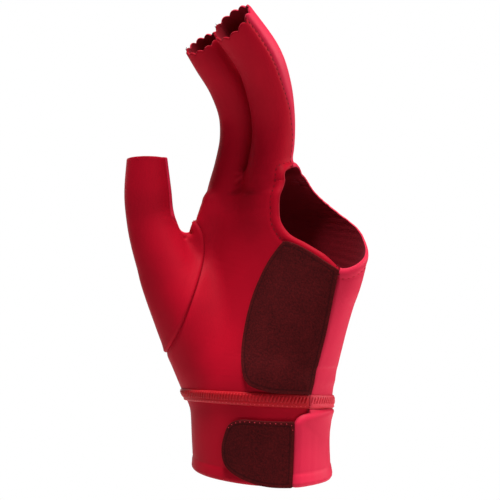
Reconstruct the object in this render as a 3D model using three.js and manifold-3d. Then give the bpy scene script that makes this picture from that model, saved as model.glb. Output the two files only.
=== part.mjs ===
// Billiard glove for the left hand, in the form it has when worn. Millimetres, +Z along the hand to the
// fingertips, +Y to the back of the hand, +X to the little-finger side, origin in the middle of the wrist.
import * as THREE from 'three';
import { mergeVertices } from 'three/addons/utils/BufferGeometryUtils.js';
import Module from 'manifold-3d';

const wasm = await Module();
wasm.setup();

// Driving sizes
const CLOTH = 1.2;
const PAD_THICKNESS = 1.6;
const TAB_THICKNESS = 1.6;
const BAND_THICKNESS = 1.0;
const GAP = 0.3;
const SQUARENESS = 2.15;
const FACING_TURN = 38;
const CUP_POWER = 4;
const OPEN_END_REACH = 4;

// Far bounds of the cutting solids
const FAR = 150;
const HIGH = 220;
const LOW = -90;

// Sections of each limb from root to tip: middle of the section, width across, thickness, and how far the
// middle of the palm is cupped.
const HAND = [
  { x: 0.4, y: 0.4, z: -52, wide: 66, thick: 50, cup: 0 },
  { x: 0.2, y: 0.2, z: -36, wide: 65, thick: 49, cup: 0 },
  { x: -0.6, y: 0.0, z: -18, wide: 65, thick: 49, cup: 0 },
  { x: -0.6, y: 0.0, z: -4, wide: 67, thick: 50, cup: 0 },
  { x: -1.6, y: 0.4, z: 8, wide: 72, thick: 51, cup: 0 },
  { x: -1.6, y: 1.6, z: 20, wide: 75, thick: 49, cup: 1.5 },
  { x: 1.0, y: 3.0, z: 34, wide: 77, thick: 45, cup: 3 },
  { x: 3.9, y: 5.0, z: 52, wide: 82, thick: 40, cup: 3.5 },
  { x: 7.4, y: 6.4, z: 66, wide: 84, thick: 36, cup: 3 },
  { x: 9.0, y: 7.4, z: 80, wide: 82, thick: 32, cup: 1.5 },
  { x: 9.0, y: 6.6, z: 91, wide: 74, thick: 24, cup: 0 },
  { x: 8.6, y: 5.4, z: 99, wide: 64, thick: 14, cup: 0 },
];
const INDEX = [
  { x: -14.0, y: 3.0, z: 50, wide: 14, thick: 10 },
  { x: -18.0, y: 2.6, z: 64, wide: 24, thick: 18 },
  { x: -20.8, y: 4.7, z: 79, wide: 26.4, thick: 26 },
  { x: -20.5, y: 4.8, z: 91, wide: 20.8, thick: 21.2 },
  { x: -18.6, y: 5.4, z: 102, wide: 18.6, thick: 18 },
  { x: -16.8, y: 6.6, z: 114, wide: 18.2, thick: 17.6 },
  { x: -16.0, y: 4.6, z: 126, wide: 18.4, thick: 17.6 },
  { x: -16.6, y: -2.4, z: 138, wide: 17.8, thick: 17 },
  { x: -18.4, y: -11.0, z: 148, wide: 17, thick: 16.2 },
  { x: -20.4, y: -16.5, z: 156, wide: 16.6, thick: 15.8 },
];
const MIDDLE = [
  { x: 2.4, y: 8.0, z: 60, wide: 16, thick: 16 },
  { x: 1.6, y: 8.2, z: 80, wide: 22, thick: 27 },
  { x: 1.2, y: 4.2, z: 98, wide: 19.4, thick: 18.8 },
  { x: 2.6, y: 5.2, z: 112, wide: 18.6, thick: 18.2 },
  { x: 3.6, y: 3.8, z: 124, wide: 19, thick: 18.4 },
  { x: 4.0, y: -1.7, z: 137, wide: 18.8, thick: 18 },
  { x: 3.8, y: -9.5, z: 149, wide: 18, thick: 17.2 },
  { x: 2.0, y: -21.0, z: 164.5, wide: 17.4, thick: 16.6 },
];
const THUMB = [
  { x: -12.0, y: -1.0, z: 0, wide: 24, thick: 18 },
  { x: -19.0, y: -5.0, z: 13, wide: 36, thick: 31 },
  { x: -25.0, y: -9.2, z: 24, wide: 35, thick: 33 },
  { x: -30.4, y: -13.5, z: 38, wide: 32.6, thick: 31 },
  { x: -37.0, y: -18.0, z: 54, wide: 27, thick: 26 },
  { x: -42.2, y: -21.5, z: 69, wide: 23.2, thick: 22 },
  { x: -44.8, y: -23.2, z: 80, wide: 21.6, thick: 20 },
  { x: -45.3, y: -24.4, z: 91, wide: 21.2, thick: 19.4 },
  { x: -44.6, y: -26.0, z: 106, wide: 17.6, thick: 16.6 },
];
const WEB = [
  { x: -16.0, y: -4.0, z: 26, wide: 20, thick: 16 },
  { x: -24.0, y: -7.0, z: 42, wide: 36, thick: 17 },
  { x: -29.0, y: -9.0, z: 56, wide: 40, thick: 15 },
  { x: -31.5, y: -10.0, z: 65, wide: 38, thick: 12 },
  { x: -32.5, y: -10.5, z: 71, wide: 34, thick: 8 },
  { x: -33.0, y: -10.8, z: 73.5, wide: 28, thick: 3 },
];
const LIMBS = [
  { table: HAND, points: 32, steps: 15, turn: 0, open: false },
  { table: INDEX, points: 18, steps: 12, turn: 0, open: true },
  { table: MIDDLE, points: 18, steps: 11, turn: 0, open: true },
  { table: THUMB, points: 20, steps: 12, turn: 0, open: true },
  { table: WEB, points: 14, steps: 7, turn: 45, open: false },
];

// Side seams: y where palm cloth meets back cloth, at the thumb side, in line with the index and the middle
// finger, and at the little-finger side.
const SEAM_COLUMNS = { start: -FAR, radial: -34, index: -19, middle: 4, ulnar: 42, end: FAR };
const SIDE_SEAM = [
  { z: LOW, radial: -1, index: -2, middle: -6, ulnar: -9 },
  { z: 4, radial: -1, index: -2, middle: -6, ulnar: -9 },
  { z: 32, radial: 1, index: 0, middle: -2, ulnar: -5.4 },
  { z: 57, radial: 3, index: 2, middle: 1, ulnar: -3.5 },
  { z: 80, radial: 3, index: 2, middle: 3, ulnar: 2 },
  { z: 98, radial: 3, index: 3, middle: 2, ulnar: 2 },
  { z: 114, radial: 4.5, index: 4.5, middle: 3, ulnar: 3 },
  { z: 126, radial: 2.5, index: 2.5, middle: 1, ulnar: 1 },
  { z: 138, radial: -4.5, index: -4.5, middle: -4.5, ulnar: -4.5 },
  { z: 149, radial: -13, index: -13, middle: -11.5, ulnar: -11.5 },
  { z: 158, radial: -19.5, index: -19.5, middle: -18.5, ulnar: -18.5 },
  { z: 166, radial: -26, index: -26, middle: -26, ulnar: -26 },
  { z: HIGH, radial: -60, index: -60, middle: -60, ulnar: -60 },
];

// Lines round the wrist: height at its middle, and rise for each millimetre to the front and to the right
// as seen from the facing turn.
const BAND_TOP = { z: 2.7, front: 0.13, right: -0.04 };
const WRIST_SEAM = { z: 0.4, front: 0.13, right: -0.04 };
const BAND_LOW = { z: -2.7, front: 0.12, right: -0.05 };
const HEM = { z: -32.2, front: -0.04, right: 0 };
const ABOVE_ALL = { z: HIGH, front: 0, right: 0 };

// Edge of the open side for ring and little finger, from the middle finger's root round to the
// little-finger side: where it crosses the palm and where it crosses the back.
const PALM_FACE = -14;
const BACK_FACE = 28;
const ROOF_STEP = 1;
const OPEN_SIDE_STEPS = 20;
const OPEN_SIDE = [
  { palmX: 14, palmZ: 130, backX: 14.2, backZ: 130 },
  { palmX: 13.2, palmZ: 98, backX: 12.4, backZ: 100 },
  { palmX: 14, palmZ: 90.8, backX: 14.6, backZ: 93.6 },
  { palmX: 13.3, palmZ: 83.6, backX: 20, backZ: 87.6 },
  { palmX: 14, palmZ: 78, backX: 28, backZ: 82.7 },
  { palmX: 18.6, palmZ: 72.2, backX: 34.2, backZ: 80 },
  { palmX: 26.7, palmZ: 68.3, backX: 40, backZ: 77.3 },
  { palmX: 35.3, palmZ: 63.6, backX: 44.3, backZ: 74.6 },
  { palmX: 39.8, palmZ: 58.6, backX: 48.2, backZ: 72 },
  { palmX: 41.8, palmZ: 54, backX: 53.7, backZ: 71.5 },
  { palmX: 80, palmZ: 46.8, backX: 80, backZ: 69.2 },
];

// Outlines seen square on from the facing turn: u to the right, z up, and how far each corner is rounded.
const THUMB_REGION = [
  { u: -54, z: 0, round: 0 },
  { u: -35.3, z: 31, round: 8 },
  { u: -28.5, z: 47.6, round: 10 },
  { u: -24.6, z: 62, round: 10 },
  { u: -25.6, z: 74, round: 6 },
  { u: -33, z: 81, round: 5 },
  { u: -34, z: 140, round: 0 },
  { u: -120, z: 140, round: 0 },
  { u: -120, z: 0, round: 0 },
];
const PAD_OUTLINE = [
  { u: 7.6, z: 68.6, round: 3 },
  { u: 31.8, z: 57.6, round: 2 },
  { u: 27, z: 33, round: 10 },
  { u: 17.2, z: 5, round: 1.5 },
  { u: -6.6, z: 9.4, round: 5 },
  { u: -8.4, z: 22, round: 10 },
  { u: -4, z: 44, round: 10 },
];
const TAB_OUTLINE = [
  { u: 12.7, z: -5.8, round: 0 },
  { u: -9.5, z: -5.2, round: 3 },
  { u: -14.2, z: -7.4, round: 3 },
  { u: -17.2, z: -17, round: 8 },
  { u: -16.4, z: -25.5, round: 5 },
  { u: -10.5, z: -30, round: 5 },
  { u: 1, z: -33.4, round: 6 },
  { u: 11.9, z: -33.6, round: 0 },
];
const STRAP_FRONT = [
  { u: 12.2, z: -50, round: 0 },
  { u: 13.2, z: -18, round: 4 },
  { u: 13.4, z: -3.4, round: 5 },
  { u: 24, z: -2, round: 0 },
  { u: 90, z: 20, round: 0 },
  { u: 90, z: -50, round: 0 },
];
const NEAR_DEPTH = 5;
const FRONT_REACH = 70;
const CORNER_STEPS = 3;

// The strap climbs from the back of the cuff on to the palm side of it between these turns, in degrees
// from the little-finger side.
const CLIMB_START = 30;
const CLIMB_END = 0;
const STRAP_LIFT = CLOTH + GAP;

// Looks
const RED_CLOTH = { color: '#b3152a', roughness: 0.55, metalness: 0 };
const PINKISH_CLOTH = { color: '#cf2244', roughness: 0.5, metalness: 0 };
const RED_THREAD = { color: '#a81c26', roughness: 0.6, metalness: 0 };
const DARK_PILE = { color: '#4a1115', roughness: 0.9, metalness: 0 };

const facingAngle = THREE.MathUtils.degToRad(FACING_TURN);
const UP = new THREE.Vector3(0, 0, 1);
const ACROSS = new THREE.Vector3(Math.cos(facingAngle), Math.sin(facingAngle), 0);
const TOWARDS = new THREE.Vector3().crossVectors(ACROSS, UP);

// A three.js geometry as a solid that can be joined and cut.
function solid(geometry) {
  const bare = geometry.clone();
  bare.deleteAttribute('normal');
  bare.deleteAttribute('uv');
  const merged = mergeVertices(bare, 1e-4);
  return new wasm.Manifold(new wasm.Mesh({
    numProp: 3,
    vertProperties: new Float32Array(merged.attributes.position.array),
    triVerts: new Uint32Array(merged.index.array),
  }));
}

// Closed solid through rings of equally many points, each counterclockwise as seen from the last ring.
function stack(rings) {
  const count = rings[0].length;
  const positions = [];
  const index = [];
  rings.flat().forEach((point) => positions.push(point.x, point.y, point.z));
  for (let row = 0; row + 1 < rings.length; row += 1) {
    for (let i = 0; i < count; i += 1) {
      const a = row * count + i;
      const b = row * count + ((i + 1) % count);
      index.push(a, b, b + count, a, b + count, a + count);
    }
  }
  [0, rings.length - 1].forEach((row) => {
    const hub = new THREE.Vector3();
    rings[row].forEach((point) => hub.addScaledVector(point, 1 / count));
    const hubIndex = positions.length / 3;
    positions.push(hub.x, hub.y, hub.z);
    for (let i = 0; i < count; i += 1) {
      const here = row * count + i;
      const next = row * count + ((i + 1) % count);
      index.push(hubIndex, row ? here : next, row ? next : here);
    }
  });
  const geometry = new THREE.BufferGeometry();
  geometry.setAttribute('position', new THREE.Float32BufferAttribute(positions, 3));
  geometry.setIndex(index);
  return solid(geometry);
}

// Cosine or sine of an oval that is a little squarer than an ellipse.
function oval(value) {
  return Math.sign(value) * Math.abs(value) ** (2 / SQUARENESS);
}

// Smooth curve through the points of a table.
function through(points) {
  return new THREE.CatmullRomCurve3(points, false, 'catmullrom', 0.5);
}

// One limb swollen by spread, a function of the turn round it. Its open end runs on by reach, and a closed
// one by as much as the limb swells.
function limb({ table, points, steps, turn, open }, spread, reach) {
  const middles = through(table.map((row) => new THREE.Vector3(row.x, row.y, row.z)));
  const sizes = through(table.map((row) => new THREE.Vector3(row.wide / 2, row.thick / 2, row.cup ?? 0)));
  const side = new THREE.Vector3(1, 0, 0).applyAxisAngle(UP, THREE.MathUtils.degToRad(turn));
  const ringAt = (at, beyond) => {
    const along = middles.getTangent(at);
    const middle = middles.getPoint(at).addScaledVector(along, beyond);
    const wide = side.clone().addScaledVector(along, -along.dot(side)).normalize();
    const deep = new THREE.Vector3().crossVectors(along, wide);
    const size = sizes.getPoint(at);
    return Array.from({ length: points }, (_, i) => {
      const angle = (2 * Math.PI * i) / points;
      const grow = spread(angle);
      return middle.clone()
        .addScaledVector(wide, oval(Math.cos(angle)) * (size.x + grow))
        .addScaledVector(deep, oval(Math.sin(angle)) * (size.y + grow))
        .addScaledVector(deep, size.z * Math.max(0, -Math.sin(angle)) ** CUP_POWER);
    });
  };
  const rings = Array.from({ length: steps }, (_, step) => ringAt(step / steps, 0));
  rings.push(ringAt(1, open ? reach : spread(0)));
  return stack(rings);
}

// All limbs joined, swollen evenly.
function hull(spread, reach = 0) {
  return LIMBS.map((one) => limb(one, () => spread, reach)).reduce((sum, one) => sum.add(one));
}

// Cloth between two evenly swollen hulls.
function layer(inside, outside) {
  return hull(outside).subtract(hull(inside, OPEN_END_REACH));
}

// Everything between two lines round the wrist, trimmed at both.
function between(low, high, trimLow, trimHigh) {
  const corners = [[-FAR, -FAR], [FAR, -FAR], [FAR, FAR], [-FAR, FAR]];
  const level = (line, trim) => corners.map(([x, y]) => {
    const front = line.front * (x * TOWARDS.x + y * TOWARDS.y);
    const right = line.right * (x * ACROSS.x + y * ACROSS.y);
    return new THREE.Vector3(x, y, line.z + front + right + trim);
  });
  return stack([level(low, trimLow), level(high, -trimHigh)]);
}

// Everything behind the side seams, moved back by shift.
function behindSeams(shift) {
  return stack(SIDE_SEAM.map((row) => {
    const ends = { ...row, start: row.radial, end: row.ulnar };
    const seam = Object.entries(SEAM_COLUMNS).map(
      ([name, x]) => new THREE.Vector3(x, ends[name] + shift, row.z),
    );
    return [...seam, new THREE.Vector3(FAR, FAR, row.z), new THREE.Vector3(-FAR, FAR, row.z)];
  }));
}

// Everything that the open side leaves bare.
function openSide() {
  const palmEdge = through(OPEN_SIDE.map((row) => new THREE.Vector3(row.palmX, PALM_FACE, row.palmZ)));
  const backEdge = through(OPEN_SIDE.map((row) => new THREE.Vector3(row.backX, BACK_FACE, row.backZ)));
  return stack(Array.from({ length: OPEN_SIDE_STEPS + 1 }, (_, i) => {
    const palm = palmEdge.getPoint(i / OPEN_SIDE_STEPS);
    const back = backEdge.getPoint(i / OPEN_SIDE_STEPS);
    const edge = [palm.clone().setY(-FAR), palm, back, back.clone().setY(FAR)];
    const roof = [FAR, -FAR].map((y) => new THREE.Vector3(palm.x + i * ROOF_STEP, y, HIGH));
    return [...edge, ...roof];
  }));
}

// Outline with each corner rounded, moved to the right by shift.
function roundedShape(corners, shift) {
  const at = (i) => {
    const corner = corners[(i + corners.length) % corners.length];
    return new THREE.Vector2(corner.u + shift, corner.z);
  };
  const shape = new THREE.Shape();
  corners.forEach(({ round }, i) => {
    const corner = at(i);
    const start = corner.clone().lerp(at(i - 1), Math.min(0.5, round / corner.distanceTo(at(i - 1))));
    const end = corner.clone().lerp(at(i + 1), Math.min(0.5, round / corner.distanceTo(at(i + 1))));
    if (i === 0) {
      shape.moveTo(start.x, start.y);
    } else {
      shape.lineTo(start.x, start.y);
    }
    if (round > 0) {
      shape.quadraticCurveTo(corner.x, corner.y, end.x, end.y);
    }
  });
  return shape;
}

// Solid of an outline seen square on from the facing turn, from one depth to another.
function facing(corners, deep, near, shift = 0) {
  const geometry = new THREE.ExtrudeGeometry(roundedShape(corners, shift), {
    depth: near - deep, bevelEnabled: false, curveSegments: CORNER_STEPS,
  });
  geometry.applyMatrix4(new THREE.Matrix4().makeBasis(ACROSS, UP, TOWARDS));
  geometry.translate(TOWARDS.x * deep, TOWARDS.y * deep, 0);
  return solid(geometry);
}

// Cloth of the back of the cuff, which climbs over the palm side of it at the little-finger side.
function strapLayer() {
  const lift = (angle) => {
    const turn = THREE.MathUtils.radToDeg(angle > Math.PI ? angle - 2 * Math.PI : angle);
    return STRAP_LIFT * (1 - THREE.MathUtils.smoothstep(turn, CLIMB_END, CLIMB_START));
  };
  const outside = limb(LIMBS[0], lift, 0);
  return outside.subtract(limb(LIMBS[0], (angle) => lift(angle) - CLOTH, 0));
}

const glove = new THREE.Group();

function addPiece(name, piece, look) {
  const mesh = piece.getMesh();
  const geometry = new THREE.BufferGeometry();
  geometry.setAttribute('position', new THREE.Float32BufferAttribute(mesh.vertProperties, 3));
  geometry.setIndex(new THREE.Uint32BufferAttribute(mesh.triVerts, 1));
  geometry.computeVertexNormals();
  const object = new THREE.Mesh(geometry, new THREE.MeshStandardMaterial(look));
  object.name = name;
  glove.add(object);
}

const behindPalm = behindSeams(-GAP / 2);
const backSide = behindSeams(GAP / 2);
const bare = openSide();
const cloth = layer(-CLOTH, 0);
const palmCloth = cloth.subtract(behindPalm);
const handPalm = palmCloth.intersect(between(WRIST_SEAM, ABOVE_ALL, GAP / 2, 0));

addPiece('palm_panel', handPalm
  .subtract(facing(THUMB_REGION, -FRONT_REACH, FRONT_REACH, GAP))
  .subtract(bare), RED_CLOTH);
addPiece('back_panel', cloth
  .intersect(backSide)
  .intersect(between(BAND_LOW, ABOVE_ALL, GAP / 2, 0))
  .subtract(bare), PINKISH_CLOTH);
addPiece('thumb_sleeve', handPalm
  .intersect(facing(THUMB_REGION, -FRONT_REACH, FRONT_REACH)), RED_CLOTH);

addPiece('cuff_palm', palmCloth
  .intersect(between(HEM, WRIST_SEAM, 0, GAP / 2)), RED_CLOTH);
addPiece('cuff_strap', strapLayer()
  .intersect(between(HEM, BAND_LOW, 0, GAP))
  .intersect(backSide.add(facing(STRAP_FRONT, NEAR_DEPTH, FRONT_REACH))), PINKISH_CLOTH);

const bandLayer = layer(GAP, GAP + BAND_THICKNESS).intersect(between(BAND_LOW, BAND_TOP, 0, 0));
addPiece('wrist_seam_palm', bandLayer.subtract(behindPalm), RED_THREAD);
addPiece('wrist_seam_back', bandLayer.intersect(backSide), RED_THREAD);

addPiece('palm_pad', layer(GAP, GAP + PAD_THICKNESS)
  .intersect(facing(PAD_OUTLINE, NEAR_DEPTH, FRONT_REACH))
  .subtract(behindPalm)
  .intersect(between(BAND_TOP, ABOVE_ALL, GAP, 0)), DARK_PILE);
addPiece('wrist_tab', layer(GAP, GAP + TAB_THICKNESS)
  .intersect(facing(TAB_OUTLINE, NEAR_DEPTH, FRONT_REACH)), DARK_PILE);

export default glove;
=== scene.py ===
"""Looks of a left-handed billiard glove, in the form it has when worn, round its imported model.

The tables and all arrays of points are in millimetres, in the frame of the model: +Z along the glove to the
ends of its finger sleeves, +Y to its back, +X to its open side, origin in the middle of the wrist. Blender's
own objects are in metres.
"""

import logging
import math
from dataclasses import dataclass
from enum import Enum
from typing import Callable, Optional, Sequence

import bpy
import numpy as np
from mathutils import Matrix

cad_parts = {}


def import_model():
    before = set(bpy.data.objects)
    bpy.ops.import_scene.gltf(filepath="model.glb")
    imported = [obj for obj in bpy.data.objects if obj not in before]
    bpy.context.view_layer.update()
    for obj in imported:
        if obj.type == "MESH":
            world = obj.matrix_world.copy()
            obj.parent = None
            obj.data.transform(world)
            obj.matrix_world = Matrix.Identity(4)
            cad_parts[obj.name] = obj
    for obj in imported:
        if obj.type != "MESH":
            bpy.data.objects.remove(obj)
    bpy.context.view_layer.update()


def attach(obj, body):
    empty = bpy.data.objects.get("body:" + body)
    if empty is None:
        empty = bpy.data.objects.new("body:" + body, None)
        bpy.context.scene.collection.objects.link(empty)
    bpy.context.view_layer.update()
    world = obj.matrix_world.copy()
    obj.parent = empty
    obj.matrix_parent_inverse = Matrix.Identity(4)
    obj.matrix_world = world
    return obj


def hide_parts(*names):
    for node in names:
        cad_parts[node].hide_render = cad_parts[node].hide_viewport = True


LOG = logging.getLogger("glove")
METRES = 0.001
BODY = "root"
# Turn of the palm side about +Z, and the directions to the right and to the front that it gives
FACING_TURN = math.radians(38.0)
ACROSS = np.array([math.cos(FACING_TURN), math.sin(FACING_TURN), 0.0])
TOWARDS = np.array([math.sin(FACING_TURN), -math.cos(FACING_TURN), 0.0])
# A distance that nothing on the glove reaches
NEVER = 1.0e3
# Least divisor
TINY = 1e-9
# Step over which slopes are measured
NUDGE = 0.05
# Name of the mesh data that tells finishes how far an edge is
EDGE_DATA = "edge_mm"


class Slot(Enum):
    """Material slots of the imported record."""

    STRETCH = "stretch_cloth"
    BACK = "back_cloth"
    THREAD = "seam_thread"
    PILE = "loop_cloth"


def smooth(low: float, high: float, value: np.ndarray) -> np.ndarray:
    """Soft step from 0 at low to 1 at high.

    Args:
        low: where the step begins.
        high: where it ends. It may lie below low.
        value: numbers to step.

    Returns:
        A number from 0 to 1 for each value.
    """
    share = np.clip((value - low) / (high - low), 0.0, 1.0)
    return share * share * (3.0 - 2.0 * share)


def unit(vectors: np.ndarray) -> np.ndarray:
    """Vectors scaled to length 1."""
    return vectors / np.maximum(np.linalg.norm(vectors, axis=-1, keepdims=True), TINY)


def between(low: np.ndarray, high: np.ndarray, share: float | np.ndarray) -> np.ndarray:
    """What lies at a share of the way from one value to another."""
    return low * (1 - share) + high * share


def dot(a: np.ndarray, b: np.ndarray) -> np.ndarray:
    """Scalar product of each row of one table with the same row of the other."""
    return np.einsum("ij,ij->i", a, b)


def pair(a: int, b: int) -> tuple[int, int]:
    """Two numbers with the smaller one first."""
    return (a, b) if a < b else (b, a)


def spline(rows: np.ndarray, steps: int) -> np.ndarray:
    """Smooth curve through the rows of a table.

    Args:
        rows: one point for each row, of any number of columns.
        steps: stretches that each gap between two rows is cut into.

    Returns:
        The rows and the points between them.
    """
    padded = np.vstack([2 * rows[0] - rows[1], rows, 2 * rows[-1] - rows[-2]])
    made = []
    for row in range(len(rows) - 1):
        a, b, c, d = padded[row : row + 4]
        for t in np.arange(steps) / steps:
            bend = 2 * a - 5 * b + 4 * c - d
            twist = 3 * b - a - 3 * c + d
            made.append(0.5 * (2 * b + (c - a) * t + bend * t**2 + twist * t**3))
    made.append(rows[-1])
    return np.array(made)


def slopes(height: Callable[[np.ndarray], np.ndarray], points: np.ndarray) -> tuple[np.ndarray, np.ndarray]:
    """Value of a function of place at some points, and its slope along the three axes."""
    here = height(points)
    return here, np.column_stack([(height(points + NUDGE * axis) - here) / NUDGE for axis in np.eye(3)])


def tube_faces(count: int, rings: int, sides: int) -> list[tuple[int, ...]]:
    """Faces of closed tubes whose points are numbered tube by tube and ring by ring.

    Args:
        count: number of tubes.
        rings: rings of each tube.
        sides: points of each ring.

    Returns:
        The faces of all walls, then those of all ends.
    """
    number = np.arange(count * rings * sides).reshape(count, rings, sides)
    after = np.roll(number, -1, axis=2)
    walls = np.stack([number[:, :-1], after[:, :-1], after[:, 1:], number[:, 1:]], axis=-1).reshape(-1, 4)
    ends = np.concatenate([number[:, 0, ::-1], number[:, -1]])
    return [tuple(row) for row in walls.tolist() + ends.tolist()]


def mesh_of(name: str, points: np.ndarray, faces: Sequence[tuple[int, ...]]) -> bpy.types.Mesh:
    """A mesh of points and faces."""
    mesh = bpy.data.meshes.new(name)
    mesh.from_pydata(points.tolist(), [], faces)
    return mesh


def put(name: str, data: bpy.types.ID) -> bpy.types.Object:
    """An object in the scene that shows a mesh, a light or a camera."""
    made = bpy.data.objects.new(name, data)
    bpy.context.scene.collection.objects.link(made)
    return made


# The form that the glove is stretched over

SPLINE_STEPS = 6
TUBE_POINTS = 48
# Power of the oval that sections have, and power of the cup in their palm side
OVAL_POWER = 2.15
CUP_POWER = 4
# Radius of the rounding at a limb's ends
END_DOME = 4.0
LEAST_RATIO = 1e-4
LEAST_RADIUS = 1e-3
SLEEVE_REACH = 6.0


class Limb:
    """A swept oval. Several of them make up the form that the glove is stretched over.

    Args:
        sections: x, y, z of the middle, width, thickness and, where it has one, cup of each section, from
            root to tip.
        turn: turn of the width about +Z, in degrees.
        reach: how far the limb runs on past its last section.
    """

    def __init__(self, sections: Sequence[Sequence[float]], turn: float = 0.0, reach: float = 0.0) -> None:
        """Works out the middle line, its axes and its widths."""
        rows = spline(np.array([(*row, 0.0)[:6] for row in sections], float), SPLINE_STEPS)
        self.tip = len(rows) - 1
        if reach:
            along = unit(rows[-1, :3] - rows[-2, :3])
            more = rows[-1].copy()
            more[:3] += along * reach
            rows = np.vstack([rows, more])
        self.centre = rows[:, :3]
        self.half = rows[:, 3:5] / 2
        self.cup = rows[:, 5]
        self.step = np.diff(self.centre, axis=0)
        self.length = np.linalg.norm(self.step, axis=1)
        self.run = np.concatenate([[0.0], np.cumsum(self.length)])
        tangent = unit(np.gradient(self.centre, axis=0))
        side = np.array([math.cos(math.radians(turn)), math.sin(math.radians(turn)), 0.0])
        self.wide = unit(side - tangent * (tangent @ side)[:, None])
        self.deep = np.cross(tangent, self.wide)

    def nearest(self, points: np.ndarray) -> np.ndarray:
        """For each point, the number of the stretch of the middle line that it is nearest to."""
        best = np.full(len(points), np.inf)
        index = np.zeros(len(points), int)
        for i, (start, step) in enumerate(zip(self.centre, self.step)):
            from_start = points - start
            share = np.clip(from_start @ step / (step @ step), 0.0, 1.0)
            gap = from_start - share[:, None] * step
            square = dot(gap, gap)
            better = square < best
            best[better] = square[better]
            index[better] = i
        return index

    def place(self, points: np.ndarray, index: np.ndarray) -> tuple[np.ndarray, ...]:
        """Where points lie on the limb.

        Args:
            points: the points.
            index: their stretches, as nearest gives them.

        Returns:
            Offset across, offset deep, half width, half thickness, cup, distance run along the middle
            line, and distance past either end of it.
        """
        step = self.step[index]
        from_start = points - self.centre[index]
        share = dot(from_start, step) / self.length[index] ** 2
        inside = np.clip(share, 0.0, 1.0)
        beyond = (share - inside) * self.length[index]
        at_end = ((index == 0) & (share < 0)) | ((index == len(self.step) - 1) & (share > 1))
        beyond = np.where(at_end, beyond, 0.0)
        gap = from_start - inside[:, None] * step
        part = inside[:, None]
        wide = between(self.wide[index], self.wide[index + 1], part)
        deep = between(self.deep[index], self.deep[index + 1], part)
        half = between(self.half[index], self.half[index + 1], part)
        cup = between(self.cup[index], self.cup[index + 1], inside)
        run = self.run[index] + inside * self.length[index] + beyond
        return dot(gap, wide), dot(gap, deep), half[:, 0], half[:, 1], cup, run, beyond

    def distance(self, points: np.ndarray, index: Optional[np.ndarray] = None) -> np.ndarray:
        """Distance from the limb's surface, negative inside."""
        index = self.nearest(points) if index is None else index
        a, b, half_wide, half_thick, cup, _, beyond = self.place(points, index)

        def ratio(deep: np.ndarray) -> np.ndarray:
            """Distance from the middle line as a share of the oval's radius there."""
            power = np.abs(a / half_wide) ** OVAL_POWER + np.abs(deep / half_thick) ** OVAL_POWER
            return np.maximum(power ** (1 / OVAL_POWER), LEAST_RATIO)

        turned = np.minimum(np.abs(b / half_thick) / ratio(b), 1.0) ** (OVAL_POWER / 2)
        b = np.where(b < 0, b - cup * turned**CUP_POWER, b)
        radius = np.hypot(a, b)
        over = np.where(radius < LEAST_RADIUS, -half_thick, radius * (1 - 1 / ratio(b)))
        capped = np.hypot(np.maximum(over + END_DOME, 0.0), beyond) - END_DOME
        return np.where(beyond == 0, over, capped)

    def past_tip(self, points: np.ndarray) -> np.ndarray:
        """How far points lie past the last section, and a large negative number far from the limb."""
        index = self.nearest(points)
        a, b, half_wide, _, _, run, _ = self.place(points, index)
        near = np.hypot(a, b) < 2 * half_wide
        return np.where(near, run - self.run[self.tip], -NEVER)

    def turn_round(self, points: np.ndarray) -> np.ndarray:
        """Angle of points round the middle line, from the width towards the back."""
        a, b, half_wide, half_thick, _, _, _ = self.place(points, self.nearest(points))
        return np.arctan2(b / half_thick, a / half_wide)

    def tube(self, shift: np.ndarray) -> tuple[np.ndarray, list[tuple[int, ...]]]:
        """Closed tube of the limb's sections.

        Args:
            shift: how far each section is moved along X.

        Returns:
            Points and faces.
        """
        angle = 2 * np.pi * np.arange(TUBE_POINTS) / TUBE_POINTS
        cosine, sine = np.cos(angle), np.sin(angle)
        flat = np.sign(cosine) * np.abs(cosine) ** (2 / OVAL_POWER)
        high = np.sign(sine) * np.abs(sine) ** (2 / OVAL_POWER)
        cup = np.maximum(0.0, -sine) ** CUP_POWER
        middle = self.centre + np.outer(shift, [1.0, 0.0, 0.0])
        up = self.half[:, 1:2] * high + self.cup[:, None] * cup
        rings = (
            middle[:, None]
            + (self.half[:, 0:1] * flat)[:, :, None] * self.wide[:, None]
            + up[:, :, None] * self.deep[:, None]
        )
        return rings.reshape(-1, 3), tube_faces(1, len(rings), TUBE_POINTS)


# Each row: x, y, z of the section's middle, width, thickness, and cup of the palm
PALM_SECTIONS = (
    (0.4, 0.4, -52, 66, 50, 0),
    (0.2, 0.2, -36, 65, 49, 0),
    (-0.6, 0.0, -18, 65, 49, 0),
    (-0.6, 0.0, -4, 67, 50, 0),
    (-1.6, 0.4, 8, 72, 51, 0),
    (-1.6, 1.6, 20, 75, 49, 1.5),
    (1.0, 3.0, 34, 77, 45, 3),
    (3.9, 5.0, 52, 82, 40, 3.5),
    (7.4, 6.4, 66, 84, 36, 3),
    (9.0, 7.4, 80, 82, 32, 1.5),
    (9.0, 6.6, 91, 74, 24, 0),
    (8.6, 5.4, 97, 66, 15, 0),
)
INDEX_SECTIONS = (
    (-14.0, 3.0, 50, 14, 10),
    (-18.0, 2.6, 64, 24, 18),
    (-20.8, 4.7, 79, 26.4, 26),
    (-20.5, 4.8, 91, 20.8, 21.2),
    (-18.6, 5.4, 102, 18.6, 18),
    (-16.8, 6.6, 114, 18.4, 17.6),
    (-15.8, 4.6, 126, 18.8, 17.6),
    (-16.2, -2.4, 138, 18.6, 17),
    (-17.9, -11.0, 148, 18, 16.2),
    (-19.8, -16.5, 156, 17.8, 15.8),
)
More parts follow.
